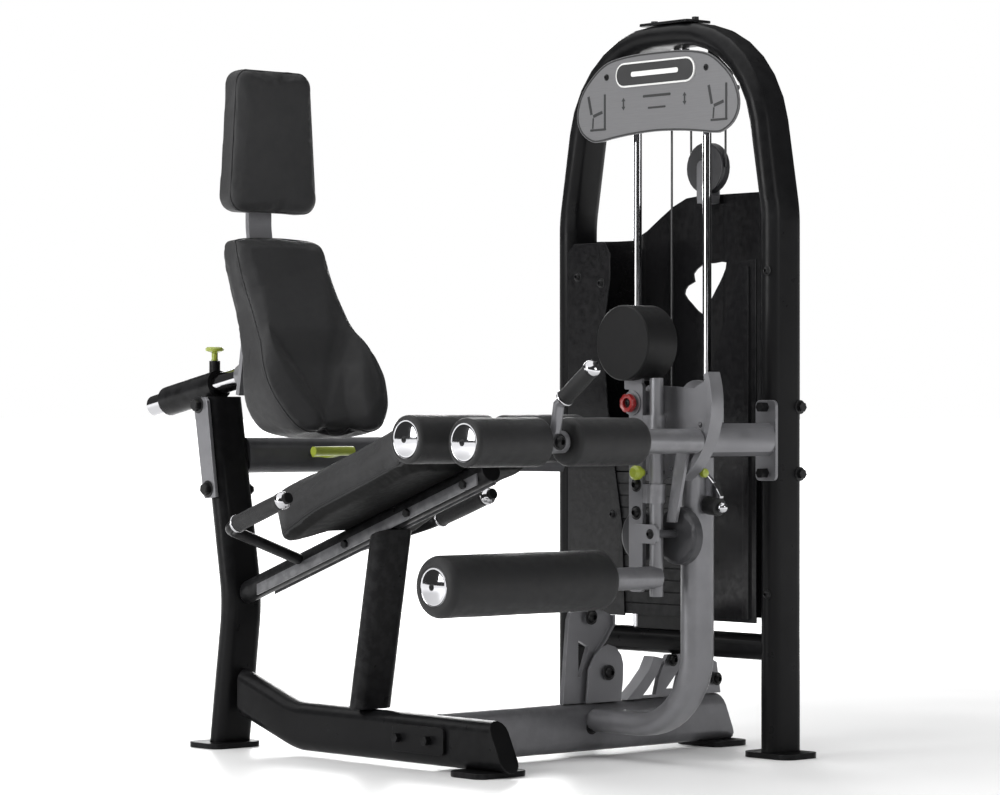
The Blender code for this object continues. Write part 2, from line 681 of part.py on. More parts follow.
def seat_pad():
    """Seat cushion: rounded wedge lying on the rail, flat below, bevelled sides."""
    along = Vector((0.0, -1.0, RAIL_SLOPE)).normalized()
    up = Vector((0.0, RAIL_SLOPE, 1.0)).normalized()
    back = Vector((0.0, 0.288, rail_middle(0.288) + RAIL_RISE + GAP))
    length = 0.478
    rings = []
    for reach, inset, dip in (
        (0.0, 0.012, 0.022),
        (0.012, 0.003, 0.021),
        (0.035, 0.0, 0.017),
        (0.110, 0.0, 0.006),
        (0.190, 0.0, 0.0),
        (length - 0.045, 0.0, 0.004),
        (length - 0.014, 0.008, 0.006),
        (length, 0.024, 0.006),
    ):
        wide = SEAT_HALF - inset
        top = 0.091 - inset * 0.4
        section = [(-0.060, 0.0), (0.060, 0.0), (wide - 0.006, -dip), (wide, 0.006 - dip), (wide, 0.070)]
        section += [(wide - 0.028, top), (-wide + 0.028, top), (-wide, 0.070)]
        section += [(-wide, 0.006 - dip), (-wide + 0.006, -dip)]
        rings.append([back + along * reach + Vector((u, 0, 0)) + up * v for u, v in section])
    node("seat_pad", VINYL, [loft(rings)])


def handles():
    """Bent side handles that spring from the top of the seat rail."""
    out = 0.285
    for name, sign in (("near", -1), ("far", 1)):
        root = Vector((sign * 0.0325, 0.390, 0.4310))
        bend = Vector((sign * out, 0.313, 0.5050))
        tip = Vector((sign * out, 0.1066, 0.5746))
        path = fillet([root, bend, tip], (0.030,), steps=5)
        square = (bend - root).cross(tip - bend)
        node("side_handle_" + name, PAINT_BLACK, [sweep(path, circle(0.0125, 12), square)])


def grips():
    for name, x in (("near", -0.285), ("far", 0.285)):
        start = Vector((x, 0.2770, 0.51715))
        end = Vector((x, 0.1210, 0.56975))
        along = (end - start).normalized()
        sleeve = rod(start, end - along * 0.010, 0.0185, 16)
        inner = rod(start - along * 0.05, end + along * 0.05, 0.0140, 12)
        node("handle_grip_" + name, FOAM, [sleeve], cuts=[inner])


def back_support():
    """Sliding tube in its sleeve, the pull pin over it and the pad post."""
    along = Vector((0.0, -math.cos(SLIDE_TILT), math.sin(SLIDE_TILT)))
    up = Vector((0.0, 0.0, 1.0))
    bore = rod(SLIDE_START - along * 0.1, SLIDE_START + along * 0.5, 0.0240, 20)
    shell = rod(slide_point(0.057), slide_point(0.250), SLEEVE_R, 20)
    collar = SLIDE_START + along * 0.232
    barrel = rod(collar + up * 0.020, collar + up * 0.057, 0.0125, 12)
    pin_bore = rod(collar, collar + up * 0.10, 0.0055, 12)
    node("adjust_sleeve", PAINT_BLACK, [shell, barrel], cuts=[bore, pin_bore])

    tip = SLIDE_START + along * 0.345
    tube = rod(SLIDE_START, tip, 0.0236, 20)
    hole = rod(collar, collar + up * 0.10, 0.0062, 12)
    node("adjust_tube", CHROME, [tube], cuts=[hole])
    top = collar + up * 0.0575
    profile = [(0.0, 0.0085), (0.004, 0.007), (0.018, 0.007)]
    profile += [(0.022, 0.020), (0.027, 0.0215), (0.031, 0.017)]
    knob = turned(top, up, profile, 16)
    shaft = rod(collar + up * 0.0250, top + up * 0.002, 0.0050, 12)
    node("back_pull_pin", LIME, [shaft, knob], at=top)

    post_x = 0.032
    post_path = [(0, tip.y - 0.014, 0.790), (0, 0.561, 1.075), (0, 0.5735, 1.165), (0, 0.5735, 1.470)]
    path = fillet(post_path, (0.30, 0.12), steps=4)
    post = sweep(path, flat_bar(post_x, 0.006, 0.006), (1, 0, 0))
    socket = rod(tip + along * 0.012, tip - along * 0.004, 0.0290, 16)
    inner = rod(tip - along * 0.2, tip + along * GAP, 0.0239, 20)
    node("back_post", PAINT_GREY, [post, socket], cuts=[inner])


def back_pads():
    """Back cushion and head cushion: plain solids of the right outline."""
    rows = [
        (0.700, 0.075, 0.268, 0.412),
        (0.712, 0.118, 0.268, 0.420),
        (0.735, 0.140, 0.277, 0.426),
        (0.765, 0.158, 0.288, 0.428),
        (0.800, 0.169, 0.306, 0.427),
        (0.835, 0.172, 0.322, 0.426),
        (0.870, 0.166, 0.341, 0.438),
        (0.905, 0.156, 0.363, 0.460),
        (0.950, 0.143, 0.400, 0.488),
        (1.010, 0.137, 0.436, 0.519),
        (1.070, 0.131, 0.464, 0.546),
        (1.118, 0.124, 0.486, 0.556),
        (1.135, 0.104, 0.500, 0.554),
    ]
    rings = []
    for z, half, front, back in rows:
        ease = 0.018
        rings.append(
            [
                (-half, back - 0.004, z),
                (-half, front + ease, z),
                (-half + ease, front, z),
                (half - ease, front, z),
                (half, front + ease, z),
                (half, back - 0.004, z),
            ]
        )
    node("back_pad", VINYL, [loft(rings)])
    face = 0.5067
    depth = 0.0588
    rings = []
    for z, half, inset in (
        (1.187, 0.098, 0.014),
        (1.196, 0.118, 0.004),
        (1.225, 0.131, 0.0),
        (1.470, 0.109, 0.0),
        (1.504, 0.100, 0.004),
        (1.515, 0.080, 0.014),
    ):
        rings.append(
            [
                (-half, face + depth, z),
                (-half, face + 0.014, z),
                (-half + 0.014, face + inset, z),
                (half - 0.014, face + inset, z),
                (half, face + 0.014, z),
                (half, face + depth, z),
            ]
        )
    node("head_pad", VINYL, [loft(rings)])


def release_lever():
    """Lime cross bar on a flat arm that pivots at the face of the back beam."""
    hinge = Vector((0.225, LEVER_Y, LEVER_Z))
    barrel = rod(hinge - Vector((0.012, 0, 0)), hinge + Vector((0.012, 0, 0)), 0.0062, 14)
    route = [hinge, (0.225, 0.600, 0.651), (0.225, 0.540, 0.661)]
    arm = sweep(route, flat_bar(0.009, 0.003, 0.003), (1, 0, 0))
    grip = rod((0.130, 0.540, 0.664), (0.244, 0.540, 0.664), 0.0108, 14)
    node("release_lever", LIME, [grip, arm, barrel], at=hinge)


# ---- swing arm and rollers ------------------------------------------------


def polar(radius, angle):
    """Point (y, z) about the pivot; 0 degrees is straight ahead of the user."""
    turn = math.radians(angle)
    return (PIVOT_Y - radius * math.cos(turn), PIVOT_Z + radius * math.sin(turn))


def cam():
    start = (0.3, PIVOT_Y, PIVOT_Z)
    outline = [polar(0.188, a) for a in range(18, -60, -6)]
    outline += [polar(0.166, a) for a in range(-60, -109, -6)]
    outline += [polar(0.040, a) for a in range(-130, -300, -20)]
    outline += [(-0.3600, 0.8045), (-0.3950, 0.8030)]
    holes = [circle(0.0062, 8, polar(HOLE_CIRCLE, a)) for a in range(-98, -17, 10)]
    plate = prism(outline, "x", 0.402, 0.410, holes)
    rim = [polar(0.190, a) for a in range(20, -61, -5)] + [polar(0.176, a) for a in range(-60, 21, 5)]
    band = prism(rim, "x", 0.3880, 0.4240)
    hub = rod((0.392, PIVOT_Y, PIVOT_Z), (0.4285, PIVOT_Y, PIVOT_Z), 0.030, 24)
    shaft = rod((0.338, PIVOT_Y, PIVOT_Z), (0.5480, PIVOT_Y, PIVOT_Z), 0.0128, 24)
    drum = rod((0.5305, PIVOT_Y, PIVOT_Z), (0.5480, PIVOT_Y, PIVOT_Z), 0.050, 24)
    node("cam_sector", PAINT_GREY, [plate, band, hub, shaft, drum], at=start)
    profile = [(0.0, 0.018), (0.005, 0.021), (0.013, 0.0175)]
    knob = turned((0.3377, PIVOT_Y, PIVOT_Z), (-1, 0, 0), profile, 20)
    node("pivot_cap", RED, [knob], at=start)


def swing_arm():
    bore = rod((0.30, PIVOT_Y, PIVOT_Z), (0.40, PIVOT_Y, PIVOT_Z), 0.0133, 24)
    plate = prism(rounded_box((-0.3000, 0.372), (-0.2590, 0.815), 0.010), "x", 0.3430, 0.3530)
    hub = rod((0.340, PIVOT_Y, PIVOT_Z), (0.3915, PIVOT_Y, PIVOT_Z), 0.026, 24)
    stalk = prism(rounded_box((-0.296, 0.80), (-0.244, 0.860), 0.004), "x", 0.3440, 0.3520)
    clevis = (0.476, 0.516)
    arm_y = LOWER_ROLLER[0]
    lug = prism(rounded_box((arm_y - 0.035, clevis[0]), (-0.28, clevis[1]), 0.012), "x", 0.3260, 0.3340)
    lug_root = block((0.3300, -0.302, 0.480), (0.3450, -0.282, 0.512))
    slide_bore = rod((ARM_X, arm_y, 0.30), (ARM_X, arm_y, 0.90), 0.0152, 16)
    clamps = []
    for low, high in ((0.700, 0.745), (0.560, 0.600)):
        clamps.append(rod((ARM_X, arm_y, low), (ARM_X, arm_y, high), 0.0195, 16))
        clamps.append(block((0.3435, arm_y + 0.010, low), (0.3525, -0.2980, high)))
    node(
        "swing_arm",
        PAINT_GREY,
        [plate, hub, stalk, lug, lug_root, *clamps],
        cuts=[bore, slide_bore],
        at=(ARM_X, PIVOT_Y, PIVOT_Z),
    )
    slot = prism(rounded_box((-0.2965, 0.78), (-0.2435, 0.8606), 0.004), "x", 0.3437, 0.3523)
    profile = [(0.0, 0.077), (0.003, 0.080), (0.085, 0.080), (0.088, 0.077)]
    drum = turned((0.312, PIVOT_Y, 0.898), (1, 0, 0), profile, 40)
    node("counterweight", RUBBER, [drum], cuts=[slot], at=(ARM_X, PIVOT_Y, PIVOT_Z))

    tube = rod((ARM_X, arm_y, 0.3630), (ARM_X, arm_y, 0.8240), 0.0145, 16)
    shaft = rod((-0.2560, arm_y, LOWER_ROLLER[1]), (ARM_X, arm_y, LOWER_ROLLER[1]), 0.0125, 16)
    collar = rod((0.2070, arm_y, LOWER_ROLLER[1]), (ARM_X, arm_y, LOWER_ROLLER[1]), 0.0240, 20)
    node("roller_slide", PAINT_GREY, [tube, shaft, collar], at=(ARM_X, arm_y, LOWER_ROLLER[1]))

    y, z = polar(HOLE_CIRCLE, START_HOLE)
    profile = [(0.0, 0.0085), (0.008, 0.0085), (0.012, 0.015), (0.024, 0.0155), (0.029, 0.010)]
    knob = turned((0.3425, y, z), (-1, 0, 0), profile, 16)
    node("start_pin", LIME, [knob], at=(0.3425, y, z))

    profile = [(0.0, 0.052), (0.004, 0.0600), (0.022, 0.0615), (0.026, 0.055)]
    disc = turned((0.3925, -0.3480, 0.4900), (1, 0, 0), profile, 28)
    spindle = rod((0.3343, -0.3480, 0.4960), (0.3930, -0.3480, 0.4960), 0.0080, 12)
    notch = rod((ARM_X, arm_y, 0.30), (ARM_X, arm_y, 0.90), 0.0149, 16)
    node("arm_disc", PAINT_DARK, [disc, spindle], cuts=[notch], at=(ARM_X, PIVOT_Y, PIVOT_Z))


def lower_roller():
    y, z = LOWER_ROLLER
    profile = [(0.0, 0.050), (0.008, 0.0600), (0.020, ROLLER_R)]
    profile += [(0.445, ROLLER_R), (0.457, 0.060), (0.464, 0.050)]
    body = turned((-0.262, y, z), (1, 0, 0), profile, 28)
    node("lower_roller", FOAM, [body], cuts=[rod((-0.2564, y, z), (0.30, y, z), 0.0129, 16)], at=(0.0, y, z))


def hold_down():
    fy, fz = FRONT_ROLLER
    ry, rz = REAR_ROLLER
    x_mid = -0.025
    front = rod((-0.2560, fy, fz), (0.3850, fy, fz), 0.0125, 16)
    sleeve = rod((0.2190, fy, fz), (0.3850, fy, fz), 0.0260, 20)
    rear = rod((-0.2560, ry, rz), (0.2200, ry, rz), 0.0125, 16)
    outline = rounded_box((fy - 0.020, fz - 0.020), (ry + 0.018, rz + 0.016), 0.012, 3)
    bridge = prism(outline, "x", x_mid - 0.012, x_mid + 0.012)
    clamp = rod((x_mid - 0.030, fy, fz), (x_mid + 0.030, fy, fz), 0.0230, 16)
    stem = rod((x_mid, fy - 0.008, fz + 0.005), (x_mid, -0.4380, 0.770), 0.0115, 12)
    handle = rod((x_mid, -0.4360, 0.7660), (x_mid, -0.5390, 0.8420), 0.0115, 12)
    outline = [(-0.4050, 0.6850), (-0.3700, 0.6800), (-0.3380, 0.520), (-0.3640, 0.520)]
    link = prism(outline, "x", 0.3760, 0.3840)
    node(
        "hold_down_frame",
        PAINT_GREY,
        [front, sleeve, rear, bridge, clamp, stem, handle, link],
        at=(ARM_X, PIVOT_Y, PIVOT_Z),
    )
    start = Vector((x_mid, -0.4560, 0.7808))
    end = Vector((x_mid, -0.5300, 0.8354))
    sleeve = rod(start, end, 0.0175, 16)
    inner = rod(start - (end - start), end + (end - start), 0.0119, 12)
    node("hold_down_grip", FOAM, [sleeve], cuts=[inner])
    for name, y, z, x0, x1 in (
        ("front_roller_outer", fy, fz, -0.262, -0.060),
        ("front_roller_inner", fy, fz, 0.010, 0.213),
        ("rear_roller_outer", ry, rz, -0.262, -0.042),
        ("rear_roller_inner", ry, rz, -0.006, 0.214),
    ):
        long = x1 - x0
        profile = [(0.0, 0.040), (0.006, 0.048), (0.014, SMALL_ROLLER_R)]
        profile += [(long - 0.014, SMALL_ROLLER_R), (long - 0.006, 0.048), (long, 0.040)]
        body = turned((x0, y, z), (1, 0, 0), profile, 24)
        reach = x0 + 0.0057 if name.endswith("outer") else x0 - 0.02
        hole = rod((reach, y, z), (x1 + 0.02, y, z), 0.0129, 16)
        node(name, FOAM, [body], cuts=[hole], at=(x0, y, z))


def column_grip():
    """Fixed chrome hand grip on the front of the support column."""
    pad = prism(rounded_box((0.4420, 0.570), (0.4900, 0.640), 0.006), "y", -0.3850, -0.3653)
    grip = rod((0.4660, -0.3780, 0.5850), (0.4660, -0.4220, 0.5680), 0.0140, 14)
    node("column_grip", CHROME, [pad, grip], at=(0.4660, -0.3653, 0.600))


def build():
    for item in list(bpy.data.objects):
        bpy.data.objects.remove(item)
    frame = bpy.data.objects.new("machine", None)
    bpy.context.scene.collection.objects.link(frame)
    frame.location = -ORIGIN
    tower_frame()
    placard()
    shrouds()
    guides()
    weights()
    cables()
    base()
    column()
    seat_frame()
    seat_pad()
    handles()
    grips()
    back_support()
    back_pads()
    release_lever()
    cam()
    swing_arm()
    lower_roller()
    hold_down()
    column_grip()


build()
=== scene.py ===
"""Looks of the leg extension machine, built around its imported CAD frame.

The frame holds every metal part. This script finishes the metal, replaces the
soft parts with upholstered ones, adds the small hardware and sets up a studio.
Lengths are metres. +X points at the weight tower and the user faces -Y.
"""

import json
import math

import bmesh
import bpy
from mathutils import Matrix, Vector, noise
from mathutils.bvhtree import BVHTree
from mathutils.kdtree import KDTree


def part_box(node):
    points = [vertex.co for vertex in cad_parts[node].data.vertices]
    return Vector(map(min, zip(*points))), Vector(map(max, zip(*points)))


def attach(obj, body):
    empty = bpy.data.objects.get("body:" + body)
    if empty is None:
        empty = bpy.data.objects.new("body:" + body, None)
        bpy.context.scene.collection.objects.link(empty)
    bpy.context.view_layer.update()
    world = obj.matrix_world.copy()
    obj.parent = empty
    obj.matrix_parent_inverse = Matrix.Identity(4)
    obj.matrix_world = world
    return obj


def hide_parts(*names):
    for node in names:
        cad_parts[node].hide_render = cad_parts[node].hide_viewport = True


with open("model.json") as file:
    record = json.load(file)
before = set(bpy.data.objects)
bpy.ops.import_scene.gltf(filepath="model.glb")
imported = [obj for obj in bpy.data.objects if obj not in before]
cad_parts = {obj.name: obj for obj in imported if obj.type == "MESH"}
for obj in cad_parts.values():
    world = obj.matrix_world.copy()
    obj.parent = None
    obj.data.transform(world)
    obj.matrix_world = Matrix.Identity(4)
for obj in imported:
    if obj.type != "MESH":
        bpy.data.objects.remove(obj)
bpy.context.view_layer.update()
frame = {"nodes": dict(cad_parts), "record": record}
NODES = frame["nodes"]
X = Vector((1, 0, 0))
Y = Vector((0, 1, 0))


# ---- node materials -------------------------------------------------------


class Shade:
    """One procedural material: short names for the nodes used over and over."""

    def __init__(self, name, colour, roughness, metallic=0.0, **sockets):
        self.made = bpy.data.materials.new(name)
        self.made.use_nodes = True
        self.tree = self.made.node_tree
        self.shader = self.tree.nodes["Principled BSDF"]
        self.colour = colour
        self.roughness = roughness
        self.shader.inputs["Base Color"].default_value = (*colour, 1.0)
        self.shader.inputs["Roughness"].default_value = roughness
        self.shader.inputs["Metallic"].default_value = metallic
        for socket, value in sockets.items():
            self.shader.inputs[socket.replace("_", " ")].default_value = value
        self.place = self.tree.nodes.new("ShaderNodeTexCoord").outputs["Object"]

    def node(self, kind, links=(), **settings):
        """Add a shader node with its settings and its incoming links."""
        made = self.tree.nodes.new("ShaderNode" + kind)
        for key, value in settings.items():
            if key in made.inputs.keys():
                made.inputs[key].default_value = value
            else:
                setattr(made, key, value)
        for socket, source in links:
            self.tree.links.new(source, made.inputs[socket])
        return made

    def stretched(self, scale):
        """Object coordinates squeezed by a factor along each axis."""
        return self.node("Mapping", [("Vector", self.place)], Scale=scale).outputs["Vector"]

    def noise(self, size, detail=3.0, place=None):
        """Noise whose blobs are about `size` metres across."""
        made = self.node("TexNoise", [("Vector", place or self.place)])
        made.inputs["Scale"].default_value = 1.0 / size
        made.inputs["Detail"].default_value = detail
        return made.outputs["Fac"]

    def cells(self, size):
        """Distance to the edges of cells about `size` metres across."""
        made = self.node("TexVoronoi", [("Vector", self.place)], feature="DISTANCE_TO_EDGE")
        made.inputs["Scale"].default_value = 1.0 / size
        return made.outputs["Distance"]

    def span(self, source, low, high, out_low, out_high):
        """Map a value from one range to another, clamped."""
        made = self.node("MapRange", [("Value", source)])
        ends = {"From Min": low, "From Max": high, "To Min": out_low, "To Max": out_high}
        for socket, value in ends.items():
            made.inputs[socket].default_value = value
        return made.outputs["Result"]

    def tint(self, factor, light, dark=None):
        """Colour that goes from `dark` (or the base colour) to `light`."""
        made = self.node("Mix", data_type="RGBA")
        self.tree.links.new(factor, made.inputs["Factor"])
        source = self.shader.inputs["Base Color"]
        if source.is_linked:
            self.tree.links.new(source.links[0].from_socket, made.inputs["A"])
        else:
            made.inputs["A"].default_value = (*(dark or self.colour), 1.0)
        made.inputs["B"].default_value = (*light, 1.0)
        self.tree.links.new(made.outputs["Result"], source)

    def rough(self, source, spread):
        """Roughness that follows a value between base minus and plus spread."""
        low, high = self.roughness - spread, self.roughness + spread
        self.tree.links.new(self.span(source, 0.3, 0.7, low, high), self.shader.inputs["Roughness"])

    def bump(self, height, depth, strength=1.0):
        """Relief `depth` metres deep; a second call adds to the first."""
        made = self.node("Bump", [("Height", height)])
        made.inputs["Distance"].default_value = depth
        made.inputs["Strength"].default_value = strength
        before = self.shader.inputs["Normal"]
        if before.is_linked:
            self.tree.links.new(before.links[0].from_socket, made.inputs["Normal"])
        self.tree.links.new(made.outputs["Normal"], before)

    def worn(self, light, amount=0.5):
        """Rubbed, lighter paint along convex edges, broken up by noise."""
        edge = self.node("NewGeometry").outputs["Pointiness"]
        mask = self.span(edge, 0.53, 0.62, 0.0, amount)
        patch = self.span(self.noise(0.02, 4.0), 0.42, 0.60, 0.0, 1.0)
        both = self.node("Math", [(0, mask), (1, patch)], operation="MULTIPLY").outputs[0]
        self.tint(both, light)


def powder_coat(name, colour, roughness, metallic, light):
    """Sprayed powder coat: fine orange peel, faint clouding, rubbed edges."""
    coat = {"Specular_IOR_Level": 0.22, "Coat_Weight": 0.02, "Coat_Roughness": 0.15}
    shade = Shade(name, colour, roughness, metallic, **coat)
    cloud = shade.span(shade.noise(0.18, 2.0), 0.3, 0.7, 0.0, 1.0)
    shade.tint(cloud, tuple(c * 1.22 + 0.001 for c in colour))
    shade.worn(light)
    shade.rough(shade.noise(0.03, 4.0), 0.07)
    shade.bump(shade.noise(0.0016, 2.0), 0.00012, 0.5)
    return shade.made


def upholstery(name, colour, grain, roughness=0.52):
    """Embossed vinyl: pebble grain about `grain` metres across, soft creases, painted shade in the grain's
    grooves.
    """
    shade = Shade(name, colour, roughness, Specular_IOR_Level=0.25, Sheen_Weight=0.04, Sheen_Roughness=0.4)
    pebble = shade.cells(grain)
    # painted shade: the grooves between the pebbles are painted darker than their tops
    shade.tint(shade.span(pebble, 0.0, 0.12, 0.5, 0.0), tuple(c * 0.45 for c in colour))
    shade.tint(shade.span(shade.noise(0.11, 3.0), 0.45, 0.75, 0.0, 0.35), tuple(c * 1.5 for c in colour))
    shade.rough(shade.noise(0.02, 3.0), 0.08)
    shade.bump(shade.noise(0.045, 2.0), 0.0016, 0.35)
    shade.bump(shade.span(pebble, 0.0, 0.2, 0.0, 1.0), 0.00022, 0.5)
    return shade.made


def polished(name):
    """Chrome plate with hairline polishing marks and a little haze."""
    shade = Shade(name, (0.46, 0.46, 0.475), 0.07, 1.0)
    lines = shade.noise(0.004, 3.0, shade.stretched((1.0, 0.08, 0.08)))
    shade.tint(shade.span(shade.noise(0.05), 0.5, 0.8, 0.0, 0.3), (0.38, 0.385, 0.40))
    shade.rough(lines, 0.035)
    shade.bump(lines, 0.00002, 0.4)
    return shade.made


def moulded(name, colour, roughness, texture=0.0009, depth=0.00008, **sockets):
    """Moulded plastic or rubber with a spark-eroded skin."""
    shade = Shade(name, colour, roughness, **sockets)
    shade.tint(shade.span(shade.noise(0.03, 3.0), 0.4, 0.7, 0.0, 0.5), tuple(c * 1.25 for c in colour))
    shade.rough(shade.noise(0.012, 4.0), min(0.06, roughness * 0.5))
    shade.bump(shade.noise(texture, 2.0), depth, 0.5)
    return shade.made


def cast_iron(name):
    """Painted weight plates: coarse casting skin, chipped pale edges."""
    shade = Shade(name, (0.010, 0.010, 0.0105), 0.52)
    shade.tint(shade.span(shade.noise(0.006, 4.0), 0.45, 0.7, 0.0, 0.6), (0.017, 0.017, 0.018))
    shade.worn((0.06, 0.06, 0.062), 0.5)
    shade.rough(shade.noise(0.01, 4.0), 0.10)
    shade.bump(shade.noise(0.0035, 4.0), 0.0004, 0.5)
    return shade.made


def brushed_sign(name):
    """Placard face: brushed aluminium, the brushing running across it."""
    shade = Shade(name, (0.175, 0.175, 0.180), 0.38, 0.4)
    lines = shade.noise(0.0009, 3.0, shade.stretched((1.0, 0.02, 1.0)))
    shade.tint(shade.span(lines, 0.35, 0.65, 0.0, 0.6), (0.150, 0.150, 0.155))
    shade.rough(lines, 0.06)
    shade.bump(lines, 0.00003, 0.4)
    return shade.made


def wire_rope(name):
    """Nylon-coated wire rope: the strands show as a fine twist, with painted highlights on their crowns."""
    shade = Shade(name, (0.018, 0.018, 0.019), 0.34)
    twist = shade.node("TexWave", [("Vector", shade.stretched((1.0, 1.0, 0.6)))], bands_direction="DIAGONAL")
    twist.inputs["Scale"].default_value = 90.0
    # painted highlight: the raised crowns of the twist are painted lighter than its grooves
    shade.tint(shade.span(twist.outputs["Fac"], 0.2, 0.8, 0.0, 0.7), (0.034, 0.034, 0.036))
    shade.rough(shade.noise(0.004), 0.06)
    shade.bump(twist.outputs["Fac"], 0.0003, 0.5)
    return shade.made


BLACK_PAINT = (0.0045, 0.0045, 0.0049)
GREY_PAINT = (0.150, 0.150, 0.158)
SLATE_PAINT = (0.038, 0.038, 0.041)
GLOSS_BLACK = (0.0055, 0.0055, 0.006)
LOW_SHINE = {"Specular_IOR_Level": 0.22}

FINISH = {
    "paint_black": powder_coat("paint_black_finish", BLACK_PAINT, 0.34, 0.0, (0.05, 0.05, 0.052)),
    "paint_grey": powder_coat("paint_grey_finish", GREY_PAINT, 0.36, 0.55, (0.30, 0.30, 0.31)),
    "paint_dark_grey": powder_coat("paint_dark_grey_finish", SLATE_PAINT, 0.38, 0.35, (0.14, 0.14, 0.15)),
    "chrome": polished("chrome_finish"),
    "vinyl": upholstery("vinyl_finish", (0.0160, 0.0160, 0.0168), 0.0017),
    "foam": upholstery("roller_vinyl_finish", (0.0110, 0.0110, 0.0116), 0.0011, 0.46),
    "gloss_plastic": moulded("gloss_plastic_finish", GLOSS_BLACK, 0.20, 0.02, 0.0003, **LOW_SHINE),
    "stack_iron": cast_iron("stack_iron_finish"),
    "nylon": moulded("nylon_finish", (0.030, 0.030, 0.032), 0.38),
    "lime_plastic": moulded("lime_plastic_finish", (0.20, 0.24, 0.018), 0.40, Coat_Weight=0.2),
    "red_plastic": moulded("red_plastic_finish", (0.20, 0.006, 0.006), 0.34, Coat_Weight=0.2),
    "placard_grey": brushed_sign("placard_finish"),
    "rubber": moulded("rubber_finish", (0.022, 0.022, 0.0225), 0.55, 0.0014, 0.00015),
    "cable": wire_rope("cable_finish"),
    "weight_coat": moulded("weight_coat_finish", (0.0070, 0.0070, 0.0073), 0.45, 0.0011, 0.0001),
}
TRIM_GREY = powder_coat("trim_grey_finish", (0.085, 0.085, 0.090), 0.40, 0.3, (0.16, 0.16, 0.165))
# Painted shade: near-black finish for the faces under the seat cushion, standing for the shade beneath it
SEAT_UNDERSIDE_SHADE = moulded("seat_underside_painted_shade", (0.004, 0.004, 0.004), 0.60, 0.0012, 0.00012, Specular_IOR_Level=0.15)


# Strength of the mirror part of a dielectric finish; 0.5 is plain plastic.
SHINE = {
    "paint_black": 0.09,
    "paint_dark_grey": 0.30,
    "vinyl": 0.26,
    "foam": 0.24,
    "stack_iron": 0.20,
    "weight_coat": 0.14,
    "nylon": 0.30,
    "rubber": 0.25,
    "placard_grey": 0.30,
}
for finish_name, level in SHINE.items():
    shader = FINISH[finish_name].node_tree.nodes["Principled BSDF"]
    shader.inputs["Specular IOR Level"].default_value = level

DARK_BOLT = moulded("black_oxide", (0.004, 0.004, 0.0045), 0.42, 0.0007, 0.00005, Specular_IOR_Level=0.25)
INK = moulded("printed_ink", (0.012, 0.012, 0.013), 0.45, 0.0006, 0.00003)
WHITE_INK = moulded("white_ink", (0.62, 0.62, 0.61), 0.42, 0.0006, 0.00003)
# Seam thread, a little darker than the vinyl: partly the thread's own colour, partly painted shade along the
# seam
SEAM_THREAD_AND_SHADE = moulded("seam_thread_and_painted_shade", (0.012, 0.012, 0.013), 0.7, 0.0006, 0.00015)


# ---- mesh helpers ---------------------------------------------------------


def mesh_of(name, shape):
    """Mesh made from a bmesh, which is freed."""
    mesh = bpy.data.meshes.new(name)
    bmesh.ops.recalc_face_normals(shape, faces=shape.faces[:])
    shape.to_mesh(mesh)
    shape.free()
    return mesh


def linked(name, data):
    """New object in the scene."""
    made = bpy.data.objects.new(name, data)
    bpy.context.scene.collection.objects.link(made)
    return made


def evaluated(made):
    """Mesh of an object with its modifiers applied."""
    bpy.context.view_layer.update()
    graph = bpy.context.evaluated_depsgraph_get()
    return bpy.data.meshes.new_from_object(made.evaluated_get(graph))


def piece(name, shape, finish, body, smooth_angle=35.0):
    """Turn a bmesh into a named piece with a finish, riding on a body."""
    return mesh_piece(name, mesh_of(name, shape), finish, body, smooth_angle)


def mesh_piece(name, mesh, finish, body, smooth_angle=35.0):
    """Turn a mesh into a named piece with its finish in its one material slot."""
    mesh.materials.clear()
    mesh.materials.append(FINISH[finish] if isinstance(finish, str) else finish)
    mesh.shade_smooth()
    if smooth_angle:
        mesh.set_sharp_from_angle(angle=math.radians(smooth_angle))
    made = linked(name, mesh)
    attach(made, body)
    return made


def square_to(along):
    """Two unit directions square to an axis."""
    side = Vector((0, 1, 0)) if abs(along.x) > 0.9 else along.cross(X).normalized()
    return side, along.cross(side)


def skin(shape, loops, closed_ends=True):
    """Skin closed rings of points into one bmesh."""
    rows = [[shape.verts.new(point) for point in loop] for loop in loops]
    count = len(rows[0])
    for low, high in zip(rows, rows[1:]):
        for i in range(count):
            j = (i + 1) % count
            shape.faces.new((low[i], low[j], high[j], high[i]))
    if closed_ends:
        shape.faces.new(list(reversed(rows[0])))
        shape.faces.new(rows[-1])


def lathe(shape, start, direction, profile, steps=48, turn=0.0):
    """Add a turned form: profile is (distance along, radius) pairs."""
    along = Vector(direction).normalized()
    side, across = square_to(along)
    loops = []
    for reach, radius in profile:
        centre = Vector(start) + along * reach
        angles = [turn + 2 * math.pi * i / steps for i in range(steps)]
        loops.append([centre + (side * math.cos(a) + across * math.sin(a)) * radius for a in angles])
    skin(shape, loops)


def arc(along, out, deep, wide, degrees):
    """Profile points on an arc; 0 degrees points outwards and 90 along the axis."""
    angles = [math.radians(a) for a in degrees]
    return [(along + deep * math.sin(a), out + wide * math.cos(a)) for a in angles]


def closed_cord(shape, path, radius, steps=6):
    """Add a round cord of that radius along a closed path of points."""
    normal = None
    loops = []
    for i, point in enumerate(path):
        tangent = (path[(i + 1) % len(path)] - path[i - 1]).normalized()
        if normal is None:
            normal = tangent.orthogonal().normalized()
        normal = (normal - tangent * normal.dot(tangent)).normalized()
        across = tangent.cross(normal)
        angles = [2 * math.pi * k / steps for k in range(steps)]
        loops.append([point + (normal * math.cos(a) + across * math.sin(a)) * radius for a in angles])
    loops.append(loops[0])
    skin(shape, loops, closed_ends=False)
    bmesh.ops.remove_doubles(shape, verts=shape.verts[:], dist=1e-6)


